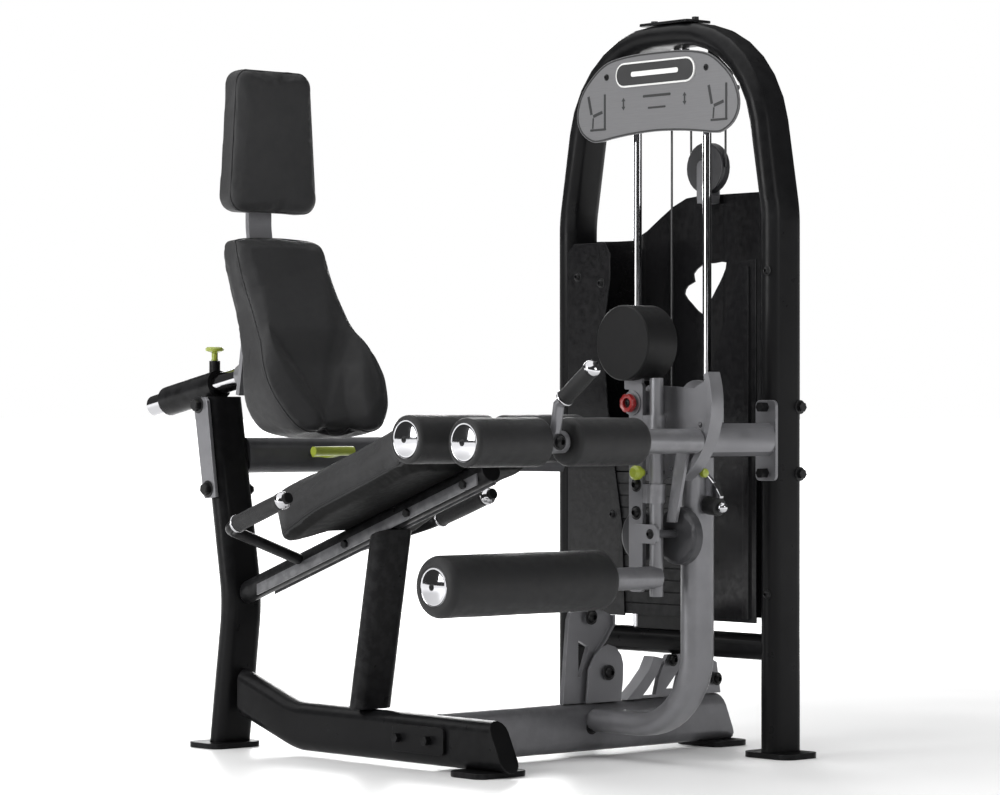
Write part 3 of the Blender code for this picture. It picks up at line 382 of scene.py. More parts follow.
def button_bolt(shape, place, direction, radius=0.008, stand=0.005):
    """Add a domed socket screw head: place is on the surface it clamps."""
    washer = [(0.0, radius * 1.35), (0.0012, radius * 1.35), (0.0015, radius * 1.25)]
    dome = [(0.0015, radius), (0.0015 + stand * 0.35, radius * 0.98), (0.0015 + stand * 0.75, radius * 0.80)]
    rim = [(0.0015 + stand, radius * 0.55), (0.0015 + stand, radius * 0.48)]
    rim += [(0.0015 + stand * 0.3, radius * 0.42)]
    lathe(shape, Vector(place) - Vector(direction) * 0.0004, direction, washer + dome + rim, 24)


def hex_bolt(shape, place, direction, radius=0.010, stand=0.008):
    """Add a washer with a hexagon head on it."""
    base = Vector(place) - Vector(direction) * 0.0004
    lathe(shape, base, direction, [(0.0, radius * 1.4), (0.0016, radius * 1.4), (0.0019, radius * 1.3)], 28)
    head = [(0.001, radius), (stand * 0.85, radius), (stand, radius * 0.86), (stand, radius * 0.4)]
    lathe(shape, base, direction, head, 6, turn=0.4)


def smooth_line(points, each=6):
    """Catmull-Rom line through points, ends included."""
    points = [Vector(p) for p in points]
    padded = [points[0] * 2 - points[1], *points, points[-1] * 2 - points[-2]]
    line = []
    for p0, p1, p2, p3 in zip(padded, padded[1:], padded[2:], padded[3:]):
        for k in range(each):
            t = k / each
            a = p1 * 2 + (p2 - p0) * t
            b = (p0 * 2 - p1 * 5 + p2 * 4 - p3) * t * t
            c = (p1 * 3 - p0 - p2 * 3 + p3) * t * t * t
            line.append((a + b + c) / 2)
    line.append(points[-1])
    return line


def ease(value):
    """Smooth step from 0 to 1."""
    value = min(1.0, max(0.0, value))
    return value * value * (3 - 2 * value)


# ---- metal from the CAD frame --------------------------------------------

BEVELS = {"paint_black": 0.0016, "paint_grey": 0.0014, "paint_dark_grey": 0.0016}
SMALL_BEVEL = 0.0008
UNBEVELLED = ("cable", "chrome")


def dress_metal():
    """Give each CAD node its finish, softened edges and even shading."""
    slots = {row["node"]: row["material_slot"] for row in frame["record"]["subparts"]}
    for name, made in NODES.items():
        slot = slots[name]
        for i in range(len(made.material_slots)):
            made.material_slots[i].material = FINISH[slot]
        mesh = made.data
        if "custom_normal" in mesh.attributes:
            mesh.attributes.remove(mesh.attributes["custom_normal"])
        mesh.shade_smooth()
        weld = made.modifiers.new("weld", "WELD")
        weld.merge_threshold = 0.00001
        if slot not in UNBEVELLED:
            bevel = made.modifiers.new("edge", "BEVEL")
            bevel.width = BEVELS.get(slot, SMALL_BEVEL)
            bevel.segments = 2
            bevel.limit_method = "ANGLE"
            bevel.angle_limit = math.radians(34)
            bevel.use_clamp_overlap = True
        made.modifiers.new("even", "WEIGHTED_NORMAL").keep_sharp = True


dress_metal()


# ---- upholstery -----------------------------------------------------------

VOXEL = 0.005
PRESSURE = 4.0
SIM_FRAMES = 20
SEAM_SINK = 0.0012
SEAM_REACH = 0.004
# the welt is made wide enough to stand for the dark shadow along the pad's edge as well as the thread
THREAD_RADIUS = 0.0014


def offset_outline(outline, inset):
    """Move a closed flat outline of (u, v) points inwards by an inset."""
    count = len(outline)
    moved = []
    for i in range(count):
        ahead = Vector(outline[(i + 1) % count])
        behind = Vector(outline[i - 1])
        along = (ahead - behind).normalized()
        inward = Vector((-along.y, along.x))
        moved.append(Vector(outline[i]) + inward * inset)
    return moved


def stuffed(name, shape, node, body, travel, shaping):
    """Remesh a base form, shape it, swell it as cloth and smooth it."""
    made = linked(name, mesh_of(name, shape))
    remesh = made.modifiers.new("voxels", "REMESH")
    remesh.mode = "VOXEL"
    remesh.voxel_size = VOXEL
    relax = made.modifiers.new("relax", "SMOOTH")
    relax.factor = 0.5
    relax.iterations = 6
    bake(made)
    moves = [shaping(vert.co, vert.normal) for vert in made.data.vertices]
    for vert, move in zip(made.data.vertices, moves):
        vert.co += move
    swell(made, travel)
    relax = made.modifiers.new("relax", "SMOOTH")
    relax.factor = 0.4
    relax.iterations = 2
    made.modifiers.new("even", "SUBSURF").levels = 1
    bake(made)
    made.data.materials.clear()
    made.data.materials.append(FINISH["vinyl"])
    made.data.shade_smooth()
    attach(made, body)
    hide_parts(node)
    return made


def bake(made):
    """Apply an object's modifiers to its mesh."""
    mesh = evaluated(made)
    made.modifiers.clear()
    made.data = mesh


def swell(made, travel):
    """Blow the cushion up under its cover, with a cap on how far it moves."""
    rest = [vert.co.copy() for vert in made.data.vertices]
    cloth = made.modifiers.new("cloth", "CLOTH")
    cloth.settings.use_pressure = True
    cloth.settings.uniform_pressure_force = PRESSURE
    cloth.settings.quality = 4
    cloth.settings.mass = 0.3
    cloth.settings.tension_stiffness = 30.0
    cloth.settings.compression_stiffness = 30.0
    cloth.settings.effector_weights.gravity = 0.0
    cloth.point_cache.frame_start = 1
    cloth.point_cache.frame_end = SIM_FRAMES
    scene = bpy.context.scene
    for step in range(1, SIM_FRAMES + 1):
        scene.frame_set(step)
    bake(made)
    scene.frame_set(1)
    for vert, before in zip(made.data.vertices, rest):
        moved = vert.co - before
        if moved.length > travel:
            vert.co = before + moved * (travel / moved.length)


def node_points(node):
    """Points of a CAD node."""
    return [vert.co.copy() for vert in NODES[node].data.vertices]


def middle(node):
    """Middle of a CAD node's box."""
    low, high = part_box(node)
    return (low + high) / 2


# The CAD design frame has x = 0 in the middle of the seat and the head pad's face at this y.
HEAD_FACE_Y = 0.5067
MID_X = middle("head_pad").x
HOME = Vector((MID_X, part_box("head_pad")[0].y - HEAD_FACE_Y, 0.0))


def at(x, y, z):
    """Point given in the CAD design frame."""
    return HOME + Vector((x, y, z))


def rounded_outline(corners, radii, steps=8):
    """Closed polygon with rounded corners, as (u, v) points."""
    points = []
    count = len(corners)
    for i, radius in enumerate(radii):
        corner = Vector(corners[i])
        a = (Vector(corners[i - 1]) - corner).normalized()
        b = (Vector(corners[(i + 1) % count]) - corner).normalized()
        half = a.angle(b) / 2
        reach = radius / math.tan(half)
        centre = corner + (a + b).normalized() * (radius / math.sin(half))
        start = corner + a * reach - centre
        finish = corner + b * reach - centre
        turn = math.atan2(start.x * finish.y - start.y * finish.x, start.dot(finish))
        for k in range(steps + 1):
            angle = turn * k / steps
            c, s = math.cos(angle), math.sin(angle)
            points.append(centre + Vector((start.x * c - start.y * s, start.x * s + start.y * c)))
    return points


def edge_layers(depth, front, back):
    """(distance from the back, inset) pairs for a block with two rounded edges."""
    back_edge = [math.radians(a) for a in range(0, 91, 15)]
    front_edge = [math.radians(a) for a in range(0, 91, 10)]
    layers = [(back * (1 - math.cos(a)), back * (1 - math.sin(a))) for a in back_edge]
    layers += [(depth - front + front * math.sin(a), front * (1 - math.cos(a))) for a in front_edge]
    return layers


def seam_path(made, points):
    """Press a seam line into a cushion and return the line on its surface."""
    verts = made.data.vertices
    tree = BVHTree.FromPolygons([v.co for v in verts], [p.vertices[:] for p in made.data.polygons])
    line = [tree.find_nearest(point)[0] for point in points]
    index = KDTree(len(line))
    for i, point in enumerate(line):
        index.insert(point, i)
    index.balance()
    normals = [vert.normal.copy() for vert in verts]
    for vert, normal in zip(verts, normals):
        distance = index.find(vert.co)[2]
        if distance < 3 * SEAM_REACH:
            vert.co -= normal * SEAM_SINK * math.exp(-((distance / SEAM_REACH) ** 2))
    return line


def stitch(name, made, points, body):
    """Lay a welt of thread along a closed seam of a cushion; its width and dark tone also paint the shade
    along the edge.
    """
    line = seam_path(made, points)
    shape = bmesh.new()
    closed_cord(shape, line, THREAD_RADIUS)
    piece(name, shape, SEAM_THREAD_AND_SHADE, body, smooth_angle=0)


def head_cushion():
    """Tapered head pad with a low crown."""
    low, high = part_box("head_pad")
    depth = high.y - low.y
    top_half = 0.109
    half = (high.x - low.x) / 2
    corners = [(-half, low.z), (half, low.z), (top_half, high.z), (-top_half, high.z)]
    outline = rounded_outline([(MID_X + u, v) for u, v in corners], (0.040, 0.040, 0.038, 0.038))
    shape = bmesh.new()
    loops = []
    for reach, inset in edge_layers(depth - 0.003, 0.017, 0.006):
        ring = offset_outline(outline, inset + 0.002)
        loops.append([Vector((u, high.y - reach, v)) for u, v in ring])
    skin(shape, loops)
    centre_z = (low.z + high.z) / 2

    def crown(co, normal):
        if normal.y > -0.3:
            return Vector((0, 0, 0))
        across = 1 - ((co.x - MID_X) / half) ** 2
        up = 1 - ((co.z - centre_z) / (high.z - centre_z)) ** 2
        return Vector((0, -0.004, 0)) * max(0.0, across) * max(0.0, up)

    made = stuffed("head_cushion", shape, "head_pad", "back_rest", 0.006, crown)
    seam = [Vector((u, low.y + 0.013, v)) for u, v in offset_outline(outline, 0.001)]
    stitch("head_cushion_seam", made, seam, "back_rest")


def back_cushion():
    """Contoured back: waisted outline, scooped lumbar between two bolsters."""
    rows = {}
    for point in node_points("back_pad"):
        rows.setdefault(round(point.z, 4), []).append(point)
    table = []
    for z, points in sorted(rows.items()):
        half = max(p.x for p in points) - MID_X
        table.append((z, half, min(p.y for p in points), max(p.y for p in points)))

    def between(z, column):
        for low, high in zip(table, table[1:]):
            if z <= high[0]:
                t = max(0.0, (z - low[0]) / (high[0] - low[0]))
                return low[column] * (1 - t) + high[column] * t
        return table[-1][column]

    z0, z1 = table[0][0], table[-1][0]
    side = smooth_line([(0.0, z0, 0.0)] + [(half, z, 0.0) for z, half, _, _ in table] + [(0.0, z1, 0.0)], 5)
    right = [(p.x, p.y) for p in side[1:-1]]
    outline = [(MID_X + u, v) for u, v in right] + [(MID_X - u, v) for u, v in reversed(right)]
    shape = bmesh.new()
    loops = []
    unit = 0.060
    for reach, inset in edge_layers(unit, 0.018, 0.006):
        share = reach / unit
        ring = []
        for u, v in offset_outline(outline, inset + 0.002):
            front, rear = between(v, 2) + 0.002, between(v, 3)
            ring.append(Vector((u, rear * (1 - share) + front * share, v)))
        loops.append(ring)
    skin(shape, loops)

    def contour(co, normal):
        if normal.y > -0.2:
            return Vector((0, 0, 0))
        x = abs(co.x - MID_X)
        fall = ease((z0 + 0.235 - co.z) / 0.09)
        ridge = 0.052 + 0.062 * ease((co.z - z0 - 0.05) / 0.20)
        scoop = ease((ridge + 0.022 - x) / 0.044) * fall
        bolster = math.exp(-(((x - ridge - 0.03) / 0.028) ** 2)) * fall
        crown = max(0.0, 1 - (x / 0.13) ** 2) * (1 - fall)
        return Vector((0, 0.017 * scoop - 0.004 * bolster - 0.003 * crown, 0))

    made = stuffed("back_cushion", shape, "back_pad", "back_rest", 0.007, contour)
    seam = [Vector((u, between(v, 2) + 0.014, v)) for u, v in offset_outline(outline, 0.001)]
    stitch("back_cushion_seam", made, seam, "back_rest")


def flank(s):
    """How far the seat's flanks hang below its rail side, from the back forward."""
    return -0.020 * (1 - ease((s + 0.02) / 0.19))


def seat_cushion():
    """Thick seat on the sloping rail; the flanks hang lower at the back."""
    points = node_points("seat_pad")
    base = sorted((p for p in points if abs(p.x - MID_X) < 0.065), key=lambda p: p.y)
    front, back = base[0], base[-1]
    half = max(p.x for p in points) - MID_X
    along = Vector((0, front.y - back.y, front.z - back.z))
    length = along.length
    along.normalize()
    up = Vector((0, -along.z, along.y))
    up = up if up.z > 0 else -up
    thick = max((p - back).dot(up) for p in points)
    start = Vector((MID_X, back.y, back.z))
    plan = 0.045
    round_r = 0.020
    shoulder = 0.018
    shape = bmesh.new()
    loops = []
    stations = [round_r * (1 - math.cos(math.radians(a))) for a in range(20, 91, 14)]
    stations += [round_r + (length - 2 * round_r) * k / 16 for k in range(1, 16)]
    stations += [length - s for s in reversed(stations[:6])]
    for s in stations:
        end = min(s, length - s)
        k = round_r - math.sqrt(max(0.0, round_r**2 - max(0.0, round_r - end) ** 2))
        corner = plan - math.sqrt(max(0.0, plan**2 - max(0.0, plan - end) ** 2))
        wide = half - 0.003 - corner - k * 0.2
        hang = flank(s)
        top = thick - 0.004 - k
        right = [(0.030, 0.002), (0.058, 0.002), (wide - 0.012, hang + 0.001)]
        right += [(wide - 0.004, hang + 0.003), (wide, hang + 0.010)]
        for a in (0, 30, 60, 90):
            out, rise = math.cos(math.radians(a)), math.sin(math.radians(a))
            right.append((wide - shoulder * (1 - out), top - shoulder * (1 - rise)))
        right += [(wide * 0.62, top + 0.001), (wide * 0.3, top + 0.001)]
        ring = right + [(-u, v) for u, v in reversed(right)]
        loops.append([start + along * s + X * u + up * v for u, v in ring])
    skin(shape, loops)

    def dish(co, normal):
        if normal.dot(up) < 0.4:
            return Vector((0, 0, 0))
        x = (co.x - MID_X) / half
        s = (co - start).dot(along) / length
        crown = 0.004 * max(0.0, 1 - x * x)
        dip = 0.007 * math.exp(-(((s - 0.33) / 0.25) ** 2) - (x / 0.5) ** 2)
        return up * (crown - dip)

    made = stuffed("seat_cushion", shape, "seat_pad", "frame", 0.007, dish)
    # the faces that look down get the painted shade finish, darker than the vinyl
    made.data.materials.append(SEAT_UNDERSIDE_SHADE)
    for face in made.data.polygons:
        if face.normal.dot(up) < -0.6:
            face.material_index = 1
    seam = []
    for s in [length * k / 40 for k in range(2, 39)]:
        seam.append(start + along * s + X * (half - 0.002) + up * (0.013 + flank(s)))
    other = [Vector((2 * MID_X - p.x, p.y, p.z)) for p in reversed(seam)]
    stitch("seat_cushion_seam", made, smooth_line(seam + other + seam[:1], 2)[:-1], "frame")


head_cushion()
back_cushion()
seat_cushion()


# ---- rollers and grips ----------------------------------------------------


def axis_of(node):
    """Start, end and radius of a slender node, from the spread of its points."""
    centre = middle(node)
    points = [p - centre for p in node_points(node)]
    along = Vector((0.3, 0.5, 0.7))
    for _ in range(60):
        along = sum((p * p.dot(along) for p in points), Vector()).normalized()
    reach = max(abs(p.dot(along)) for p in points)
    radius = max((p - along * p.dot(along)).length for p in points)
    return centre - along * reach, centre + along * reach, radius


CAP_SINK = 0.004
CAP_RADIUS = 0.0405
FOAM_WAVE = 0.0009


def roller(name, node, capped, edge):
    """Foam roller under stretched vinyl; `capped` rollers get a chrome end."""
    low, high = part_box(node)
    radius = (high.z - low.z) / 2
    start = Vector((low.x, (low.y + high.y) / 2, (low.z + high.z) / 2))
    length = high.x - low.x
    if capped:
        well = CAP_SINK + 0.002
        profile = [(well, 0.004), (well, CAP_RADIUS - 0.003), (CAP_SINK - 0.002, CAP_RADIUS)]
        profile.append((0.0, radius - edge - 0.001))
    else:
        profile = [(0.003, 0.0135), (0.001, 0.020), (0.0, 0.028)]
    profile += arc(edge, radius - edge, edge, edge, range(-90, 1, 10))
    profile += [(edge + (length - 2 * edge) * k / 24, radius) for k in range(1, 24)]
    profile += arc(length - edge, radius - edge, edge, edge, range(0, 91, 10))
    profile += [(length, 0.030), (length - 0.001, 0.020), (length - 0.003, 0.0135)]
    shape = bmesh.new()
    lathe(shape, start, X, profile, 72)
    for vert in shape.verts:
        out = vert.co - start
        out.x = 0
        if out.length > 0.9 * (radius - edge):
            soft = noise.noise(vert.co * 14.0) * FOAM_WAVE
            vert.co += out.normalized() * (soft - FOAM_WAVE)
    made = piece(name, shape, "foam", node, smooth_angle=50)
    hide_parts(node)
    if capped:
        chrome_cap(name + "_cap", start + X * (CAP_SINK - 0.001), -X, CAP_RADIUS - 0.0005, node)


def chrome_cap(name, place, direction, radius, body):
    """Domed chrome disc with a rolled lip and a dark socket screw."""
    sag = radius * 0.20
    lip = 0.0014
    lip_share = 0.945
    profile = [(-0.004, radius * 0.96), (-0.0005, radius), (0.0012, radius * 0.995)]
    profile += [(0.0020, radius * 0.97), (lip, radius * lip_share)]
    for k in range(1, 9):
        share = lip_share - 0.115 * k
        rise = (sag - lip) * (1 - (share / lip_share) ** 2) * 0.9
        profile.append((lip + rise, radius * max(share, 0.02)))
    shape = bmesh.new()
    lathe(shape, place, direction, profile, 64)
    piece(name, shape, "chrome", body, smooth_angle=60)
    shape = bmesh.new()
    button_bolt(shape, Vector(place) + Vector(direction) * (sag * 0.86), direction, 0.0052, 0.0026)
    piece(name + "_screw", shape, DARK_BOLT, body)


def rollers():
    """The five rollers; each rides on a body of its own, named as its node."""
    roller("lower_roller_foam", "lower_roller", True, 0.019)
    for row in ("front", "rear"):
        roller(row + "_outer_foam", row + "_roller_outer", True, 0.009)
        roller(row + "_inner_foam", row + "_roller_inner", False, 0.011)


def hand_grip(name, node, body, bore, lower, ball):
    """Rubber hand grip with a chrome collar below and a chrome end above."""
    start, end, radius = axis_of(node)
    if end.z < start.z:
        start, end = end, start
    along = (end - start).normalized()
    length = (end - start).length
    profile = [(0.0, bore), (0.0, radius - 0.003), (0.0008, radius - 0.001), (0.003, radius)]
    for k in range(1, 20):
        swelling = 0.0007 * math.sin(math.pi * k / 20)
        profile.append((0.003 + (length - 0.006) * k / 20, radius - 0.0012 + swelling))
    profile += [(length - 0.003, radius), (length - 0.0008, radius - 0.001)]
    profile += [(length, radius - 0.003), (length, bore)]
    shape = bmesh.new()
    lathe(shape, start, along, profile, 40)
    made = piece(name + "_rubber", shape, "foam", body, smooth_angle=50)
    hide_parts(node)
    shape = bmesh.new()
    collar = [(-lower, bore + 0.0006), (-lower, radius + 0.0004), (-lower + 0.001, radius + 0.0012)]
    collar += [(-0.001, radius + 0.0012), (0.0, radius + 0.0004), (0.0, bore + 0.0006)]
    lathe(shape, start, along, collar, 40)
    tip = [(0.0, bore * 0.9), (0.0, radius - 0.0006), (0.0012, radius + 0.0004), (0.006, radius + 0.0004)]
    tip += arc(0.006, 0.0, ball, radius + 0.0004, range(10, 86, 12))
    lathe(shape, end, along, tip, 40)
    piece(name + "_chrome", shape, "chrome", body, smooth_angle=50)
    shape = bmesh.new()
    button_bolt(shape, end + along * (0.0055 + ball), along, 0.0050, 0.0035)
    piece(name + "_screw", shape, DARK_BOLT, body)


def grips():
    for side in ("near", "far"):
        hand_grip("side_grip_" + side, "handle_grip_" + side, "frame", 0.0128, 0.006, 0.014)
    hand_grip("hold_down_hand_grip", "hold_down_grip", "swing_arm", 0.0118, 0.005, 0.013)


rollers()
grips()


# ---- hardware -------------------------------------------------------------


def bolts(name, body, rows):
    """Several screws as one piece; rows are (kind, place, direction, radius)."""
    shape = bmesh.new()
    for kind, place, direction, radius in rows:
        if kind == "hex":
            hex_bolt(shape, place, direction, radius, radius * 1.1)
        else:
            button_bolt(shape, place, direction, radius, radius * 0.7)
    piece(name, shape, DARK_BOLT, body)


def tower_bolts():
    """Screws of the left shroud, the tower leg and the tie beam's plate."""
    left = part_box("shroud_left")[0].x
    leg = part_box("column_tie_beam")[1].x
    shroud_screws = ((0.189, 1.046), (0.266, 1.062), (0.150, 0.520), (0.280, 0.330))
    rows = [("button", Vector((left, at(0, y, 0).y, z)), -X, 0.008) for y, z in shroud_screws]
    rows += [("button", Vector((leg, at(0, -0.329, 0).y, z)), -X, 0.008) for z in (1.059, 0.356)]
    rows += [("hex", at(0.7768, -0.3470, z), -Y, 0.011) for z in (0.763, 0.617)]
    bolts("tower_bolts", "frame", rows)


def base_bolts():
    """Screws on the front of the pulley bracket and the tower gusset."""
    places = ((0.4469, -0.034, 0.3040, 0.0125), (0.4906, -0.044, 0.1810, 0.0125))
    places += ((0.4440, -0.0383, 0.0640, 0.0120),)
    places += ((0.8460, -0.026, 0.1485, 0.0110), (0.7060, -0.026, 0.1980, 0.0110))
    bolts("base_bolts", "frame", [("button", at(x, y, z), -Y, radius) for x, y, z, radius in places])


RAIL_START_Y = 0.6255
RAIL_START_Z = 0.3440
RAIL_SLOPE = 0.3477


def rail_height(y):
    """Height of the seat rail's middle line at that design y."""
    return RAIL_START_Z - RAIL_SLOPE * (y - RAIL_START_Y)


def seat_bolts():
    """Screws of the seat rail and of the plates that hold the rear column."""
    rows = []
    for side in (-X, X):
        for y in (0.235, 0.030, -0.150):
            rows.append(("hex", at(side.x * 0.0250, y, rail_height(y) - 0.012), side, 0.0095))
    for y, z in ((0.7180, 0.7680), (0.6820, 0.5800)):
        rows.append(("hex", at(-0.0588, y, z), -X, 0.0135))
    rows.append(("hex", at(0.0500, 0.677, 0.577), X, 0.0110))
    bolts("seat_bolts", "frame", rows)


def arm_bolts():
    """Screws on the swing arm and at the root of the hold-down grip."""
    rows = [("button", at(0.3430, -0.2815, z), -X, 0.0110) for z in (0.5980, 0.5390)]
    rows += [("button", at(0.3260, -0.3400, 0.4960), -X, 0.0080)]
    rows += [("button", at(-0.0250, -0.4393, 0.6915), -Y, 0.0125)]
    bolts("arm_bolts", "swing_arm", rows)


def rail_trim():
    """Pale flat bars let into both sides of the seat rail."""
    for name, side in (("near", -1), ("far", 1)):
        loops = []
        for x, inset in ((0.0235, 0.0), (0.0266, 0.0), (0.0272, 0.001)):
            low, high = inset - 0.0255, -0.0015 - inset
            corners = ((0.545, low), (-0.190, low), (-0.190, high), (0.545, high))
            loops.append([at(side * x, y, rail_height(y) + rise) for y, rise in corners])
        shape = bmesh.new()
        skin(shape, loops)
        piece("rail_trim_" + name, shape, TRIM_GREY, "frame")


def start_knob():
    """Red lobed hand knob with a dark socket in the middle of the pivot."""
    low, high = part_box("pivot_cap")
    centre = (low + high) / 2
    radius = (high.z - low.z) / 2
    depth = high.x - low.x
    shape = bmesh.new()
    loops = []
    rows = ((0.0, 0.80, 0.0), (0.002, 0.90, 0.4), (0.005, 0.97, 1.0), (0.012, 0.97, 1.0))
    rows += ((0.0145, 0.92, 0.9), (depth, 0.80, 0.5), (depth, 0.52, 0.0), (depth - 0.006, 0.48, 0.0))
    for reach, size, lobe in rows:
        ring = []
        for i in range(96):
            a = 2 * math.pi * i / 96
            r = radius * (size - 0.075 * lobe * (0.5 + 0.5 * math.cos(8 * a)))
            ring.append(Vector((high.x - reach, centre.y + r * math.cos(a), centre.z + r * math.sin(a))))
        loops.append(ring)
    skin(shape, loops)
    made = piece("pivot_knob", shape, "red_plastic", "cam", smooth_angle=40)
    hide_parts("pivot_cap")
    shape = bmesh.new()
    button_bolt(shape, Vector((low.x + 0.0062, centre.y, centre.z)), -X, radius * 0.34, 0.004)
    piece("pivot_knob_socket", shape, DARK_BOLT, "cam")


def column_handle():
    """Chrome plate with a rubber grip and ball end on the column, below a coloured hub."""
    outer = ((-0.3658, 0.6225), (-0.3826, 0.6085), (-0.3974, 0.5930), (-0.4107, 0.5745))
    inner = ((-0.4095, 0.5700), (-0.3950, 0.5665), (-0.3800, 0.5660), (-0.3658, 0.5690))
    rim = smooth_line([at(0, y, z) for y, z in outer]) + smooth_line([at(0, y, z) for y, z in inner], 4)
    centre = sum(rim, Vector()) / len(rim)
    shape = bmesh.new()
    loops = []
    for x, inset in ((0.4640, 0.0012), (0.4652, 0.0), (0.4738, 0.0), (0.4750, 0.0012)):
        side = at(x, 0, 0).x
        ring = [p + (centre - p).normalized() * inset for p in rim]
        loops.append([Vector((side, p.y, p.z)) for p in ring])
    skin(shape, loops)
    base = at(0.4660, -0.3662, 0.5562)
    tip = at(0.4660, -0.4079, 0.5511)
    along = (tip - base).normalized()
    length = (tip - base).length
    collar = [(0.0, 0.0060), (0.0, 0.0165), (0.002, 0.0172), (0.004, 0.0172), (0.004, 0.0060)]
    lathe(shape, base, along, collar, 40)
    lathe(shape, tip, along, arc(0.006, 0.0, 0.0118, 0.0118, range(-44, 86, 10)), 40)
    plate = piece("column_grip_plate", shape, "chrome", "frame")
    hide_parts("column_grip")
    shape = bmesh.new()
    profile = [(0.003, 0.0100), (0.003, 0.0178), (0.005, 0.0196), (0.012, 0.0201), (length * 0.5, 0.0196)]
    profile += [(length - 0.008, 0.0200), (length - 0.002, 0.0190), (length, 0.0168), (length, 0.0100)]
    lathe(shape, base, along, profile, 40)
    piece("column_grip_sleeve", shape, "foam", "frame")
    shape = bmesh.new()
    hub = [(0.0, 0.0090), (0.002, 0.0100), (0.008, 0.0100), (0.0105, 0.0088), (0.0115, 0.0060)]
    lathe(shape, at(0.4560, -0.3656, 0.6230), -Y, hub, 32)
    piece("column_hub", shape, "lime_plastic", "frame")


def disc_behind():
    """Second disc on the arm, seen past the edge of the arm plate."""
    centre = at(0.3760, -0.2560, 0.4890)
    shape = bmesh.new()
    profile = [(0.0, 0.012), (0.0, 0.050), (0.0015, 0.0545), (0.0035, 0.0560)]
    profile += [(0.0060, 0.0560), (0.0080, 0.0545), (0.0080, 0.020)]
    lathe(shape, centre, X, profile, 64)
    piece("arm_disc_inner", shape, "paint_dark_grey", "swing_arm")


def paint_faces(node, finish, chosen):
    """Give the faces of a CAD node whose middle is chosen a finish of their own."""
    mesh = NODES[node].data
    mesh.materials.append(FINISH[finish])
    for face in mesh.polygons:
        corners = [mesh.vertices[i].co for i in face.vertices]
        if chosen(sum(corners, Vector()) / len(corners) - HOME):
            face.material_index = len(mesh.materials) - 1


def second_colours():
    """Parts of one node that carry another finish, such as bolt heads and feet."""
    foot_top = 0.0125
    plate_face = 0.6836

    def bolt_head(p):
        return p.x < plate_face and min(abs(p.z - 0.763), abs(p.z - 0.620)) < 0.0135

    paint_faces("base_beam", "paint_black", lambda p: p.z < foot_top)
    paint_faces("column_tie_beam", "paint_black", bolt_head)


tower_bolts()
base_bolts()
seat_bolts()
arm_bolts()
rail_trim()
start_knob()
column_handle()
disc_behind()
second_colours()


# ---- placard and labels ---------------------------------------------------


PRINT = 0.0006


def raised(name, outline, face_x, height, finish, body="frame", holes=()):
    """Thin raised figure on a face that looks towards -X; points are (y, z)."""
    shape = bmesh.new()
    edges = []
    for loop in [outline, *holes]:
        verts = [shape.verts.new((face_x, *p)) for p in loop]
        edges += [shape.edges.new(pair) for pair in zip(verts, verts[1:] + verts[:1])]
    bmesh.ops.triangle_fill(shape, use_beauty=True, edges=edges)
    grown = bmesh.ops.extrude_face_region(shape, geom=shape.faces[:])
    top = [item for item in grown["geom"] if isinstance(item, bmesh.types.BMVert)]
    bmesh.ops.translate(shape, verts=top, vec=(-height, 0, 0))
    piece(name, shape, finish, body, smooth_angle=30)


def placard_outline():
    """The placard's own outline, read from its CAD node."""
    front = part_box("placard")[0].x
    mesh = NODES["placard"].data
    edges = {}
    for face in mesh.polygons:
        points = [mesh.vertices[i].co for i in face.vertices]
        if all(abs(p.x - front) < 1e-5 for p in points):
            keys = [(round(p.y, 5), round(p.z, 5)) for p in points]
            for a, b in zip(keys, keys[1:] + keys[:1]):
                if (b, a) in edges:
                    del edges[(b, a)]
                else:
                    edges[(a, b)] = True
    ahead = dict(edges.keys())
    start = next(iter(ahead))
    line = [start]
    while ahead[line[-1]] != start:
        line.append(ahead[line[-1]])
    return [Vector(p) for p in line]


def bar(y0, y1, z0, z1, r):
    """Rounded bar outline between two corners."""
    return rounded_outline([(y0, z0), (y1, z0), (y1, z1), (y0, z1)], (r, r, r, r), 5)


def placard_art():
    """Border, blank badge, lines, symbols and screws on the placard."""
    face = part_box("placard")[0].x
    outline = placard_outline()
    area = sum(a.x * b.y - b.x * a.y for a, b in zip(outline, outline[1:] + outline[:1]))
    if area < 0:
        outline.reverse()
    outer = offset_outline(outline, 0.0015)
    inner = offset_outline(outline, 0.0050)
    raised("placard_border", outer, face, PRINT, INK, holes=[list(reversed(inner))])
    y = at(0, -0.012, 0).y
    for name, outline, reach, height, ink in (
        ("badge_rim", bar(y - 0.112, y + 0.139, 1.4845, 1.5400, 0.0265), 0.0, 0.0035, WHITE_INK),
        ("badge_face", bar(y - 0.108, y + 0.135, 1.4885, 1.5360, 0.0225), 0.0034, 0.0012, INK),
        ("badge_bar", bar(y - 0.062, y + 0.088, 1.5070, 1.5180, 0.005), 0.0045, PRINT, WHITE_INK),
        ("placard_line_upper", bar(y - 0.034, y + 0.054, 1.4580, 1.4640, 0.0025), 0.0, PRINT, INK),
        ("placard_line_lower", bar(y - 0.018, y + 0.038, 1.4320, 1.4365, 0.0018), 0.0, PRINT, INK),
    ):
        raised(name, outline, face - reach, height, ink)
    for side, y in (("left", 0.200), ("right", -0.185)):
        pictogram("placard_symbol_" + side, at(0, y, 0).y, 1.438, face)
    for side, y in (("left", 0.105), ("right", -0.090)):
        arrow("placard_arrow_" + side, at(0, y, 0).y, 1.448, face)
    rows = [("button", Vector((face, at(0, y, 0).y, 1.5120)), -X, 0.0055) for y in (-0.157, 0.160)]
    bolts("placard_screws", "frame", rows)


def stroke(points, width):
    """Outline of a straight line of that width between two points."""
    start, end = (Vector(p) for p in points)
    along = (end - start).normalized()
    side = Vector((-along.y, along.x)) * width / 2
    return [start + side, end + side, end - side, start - side]


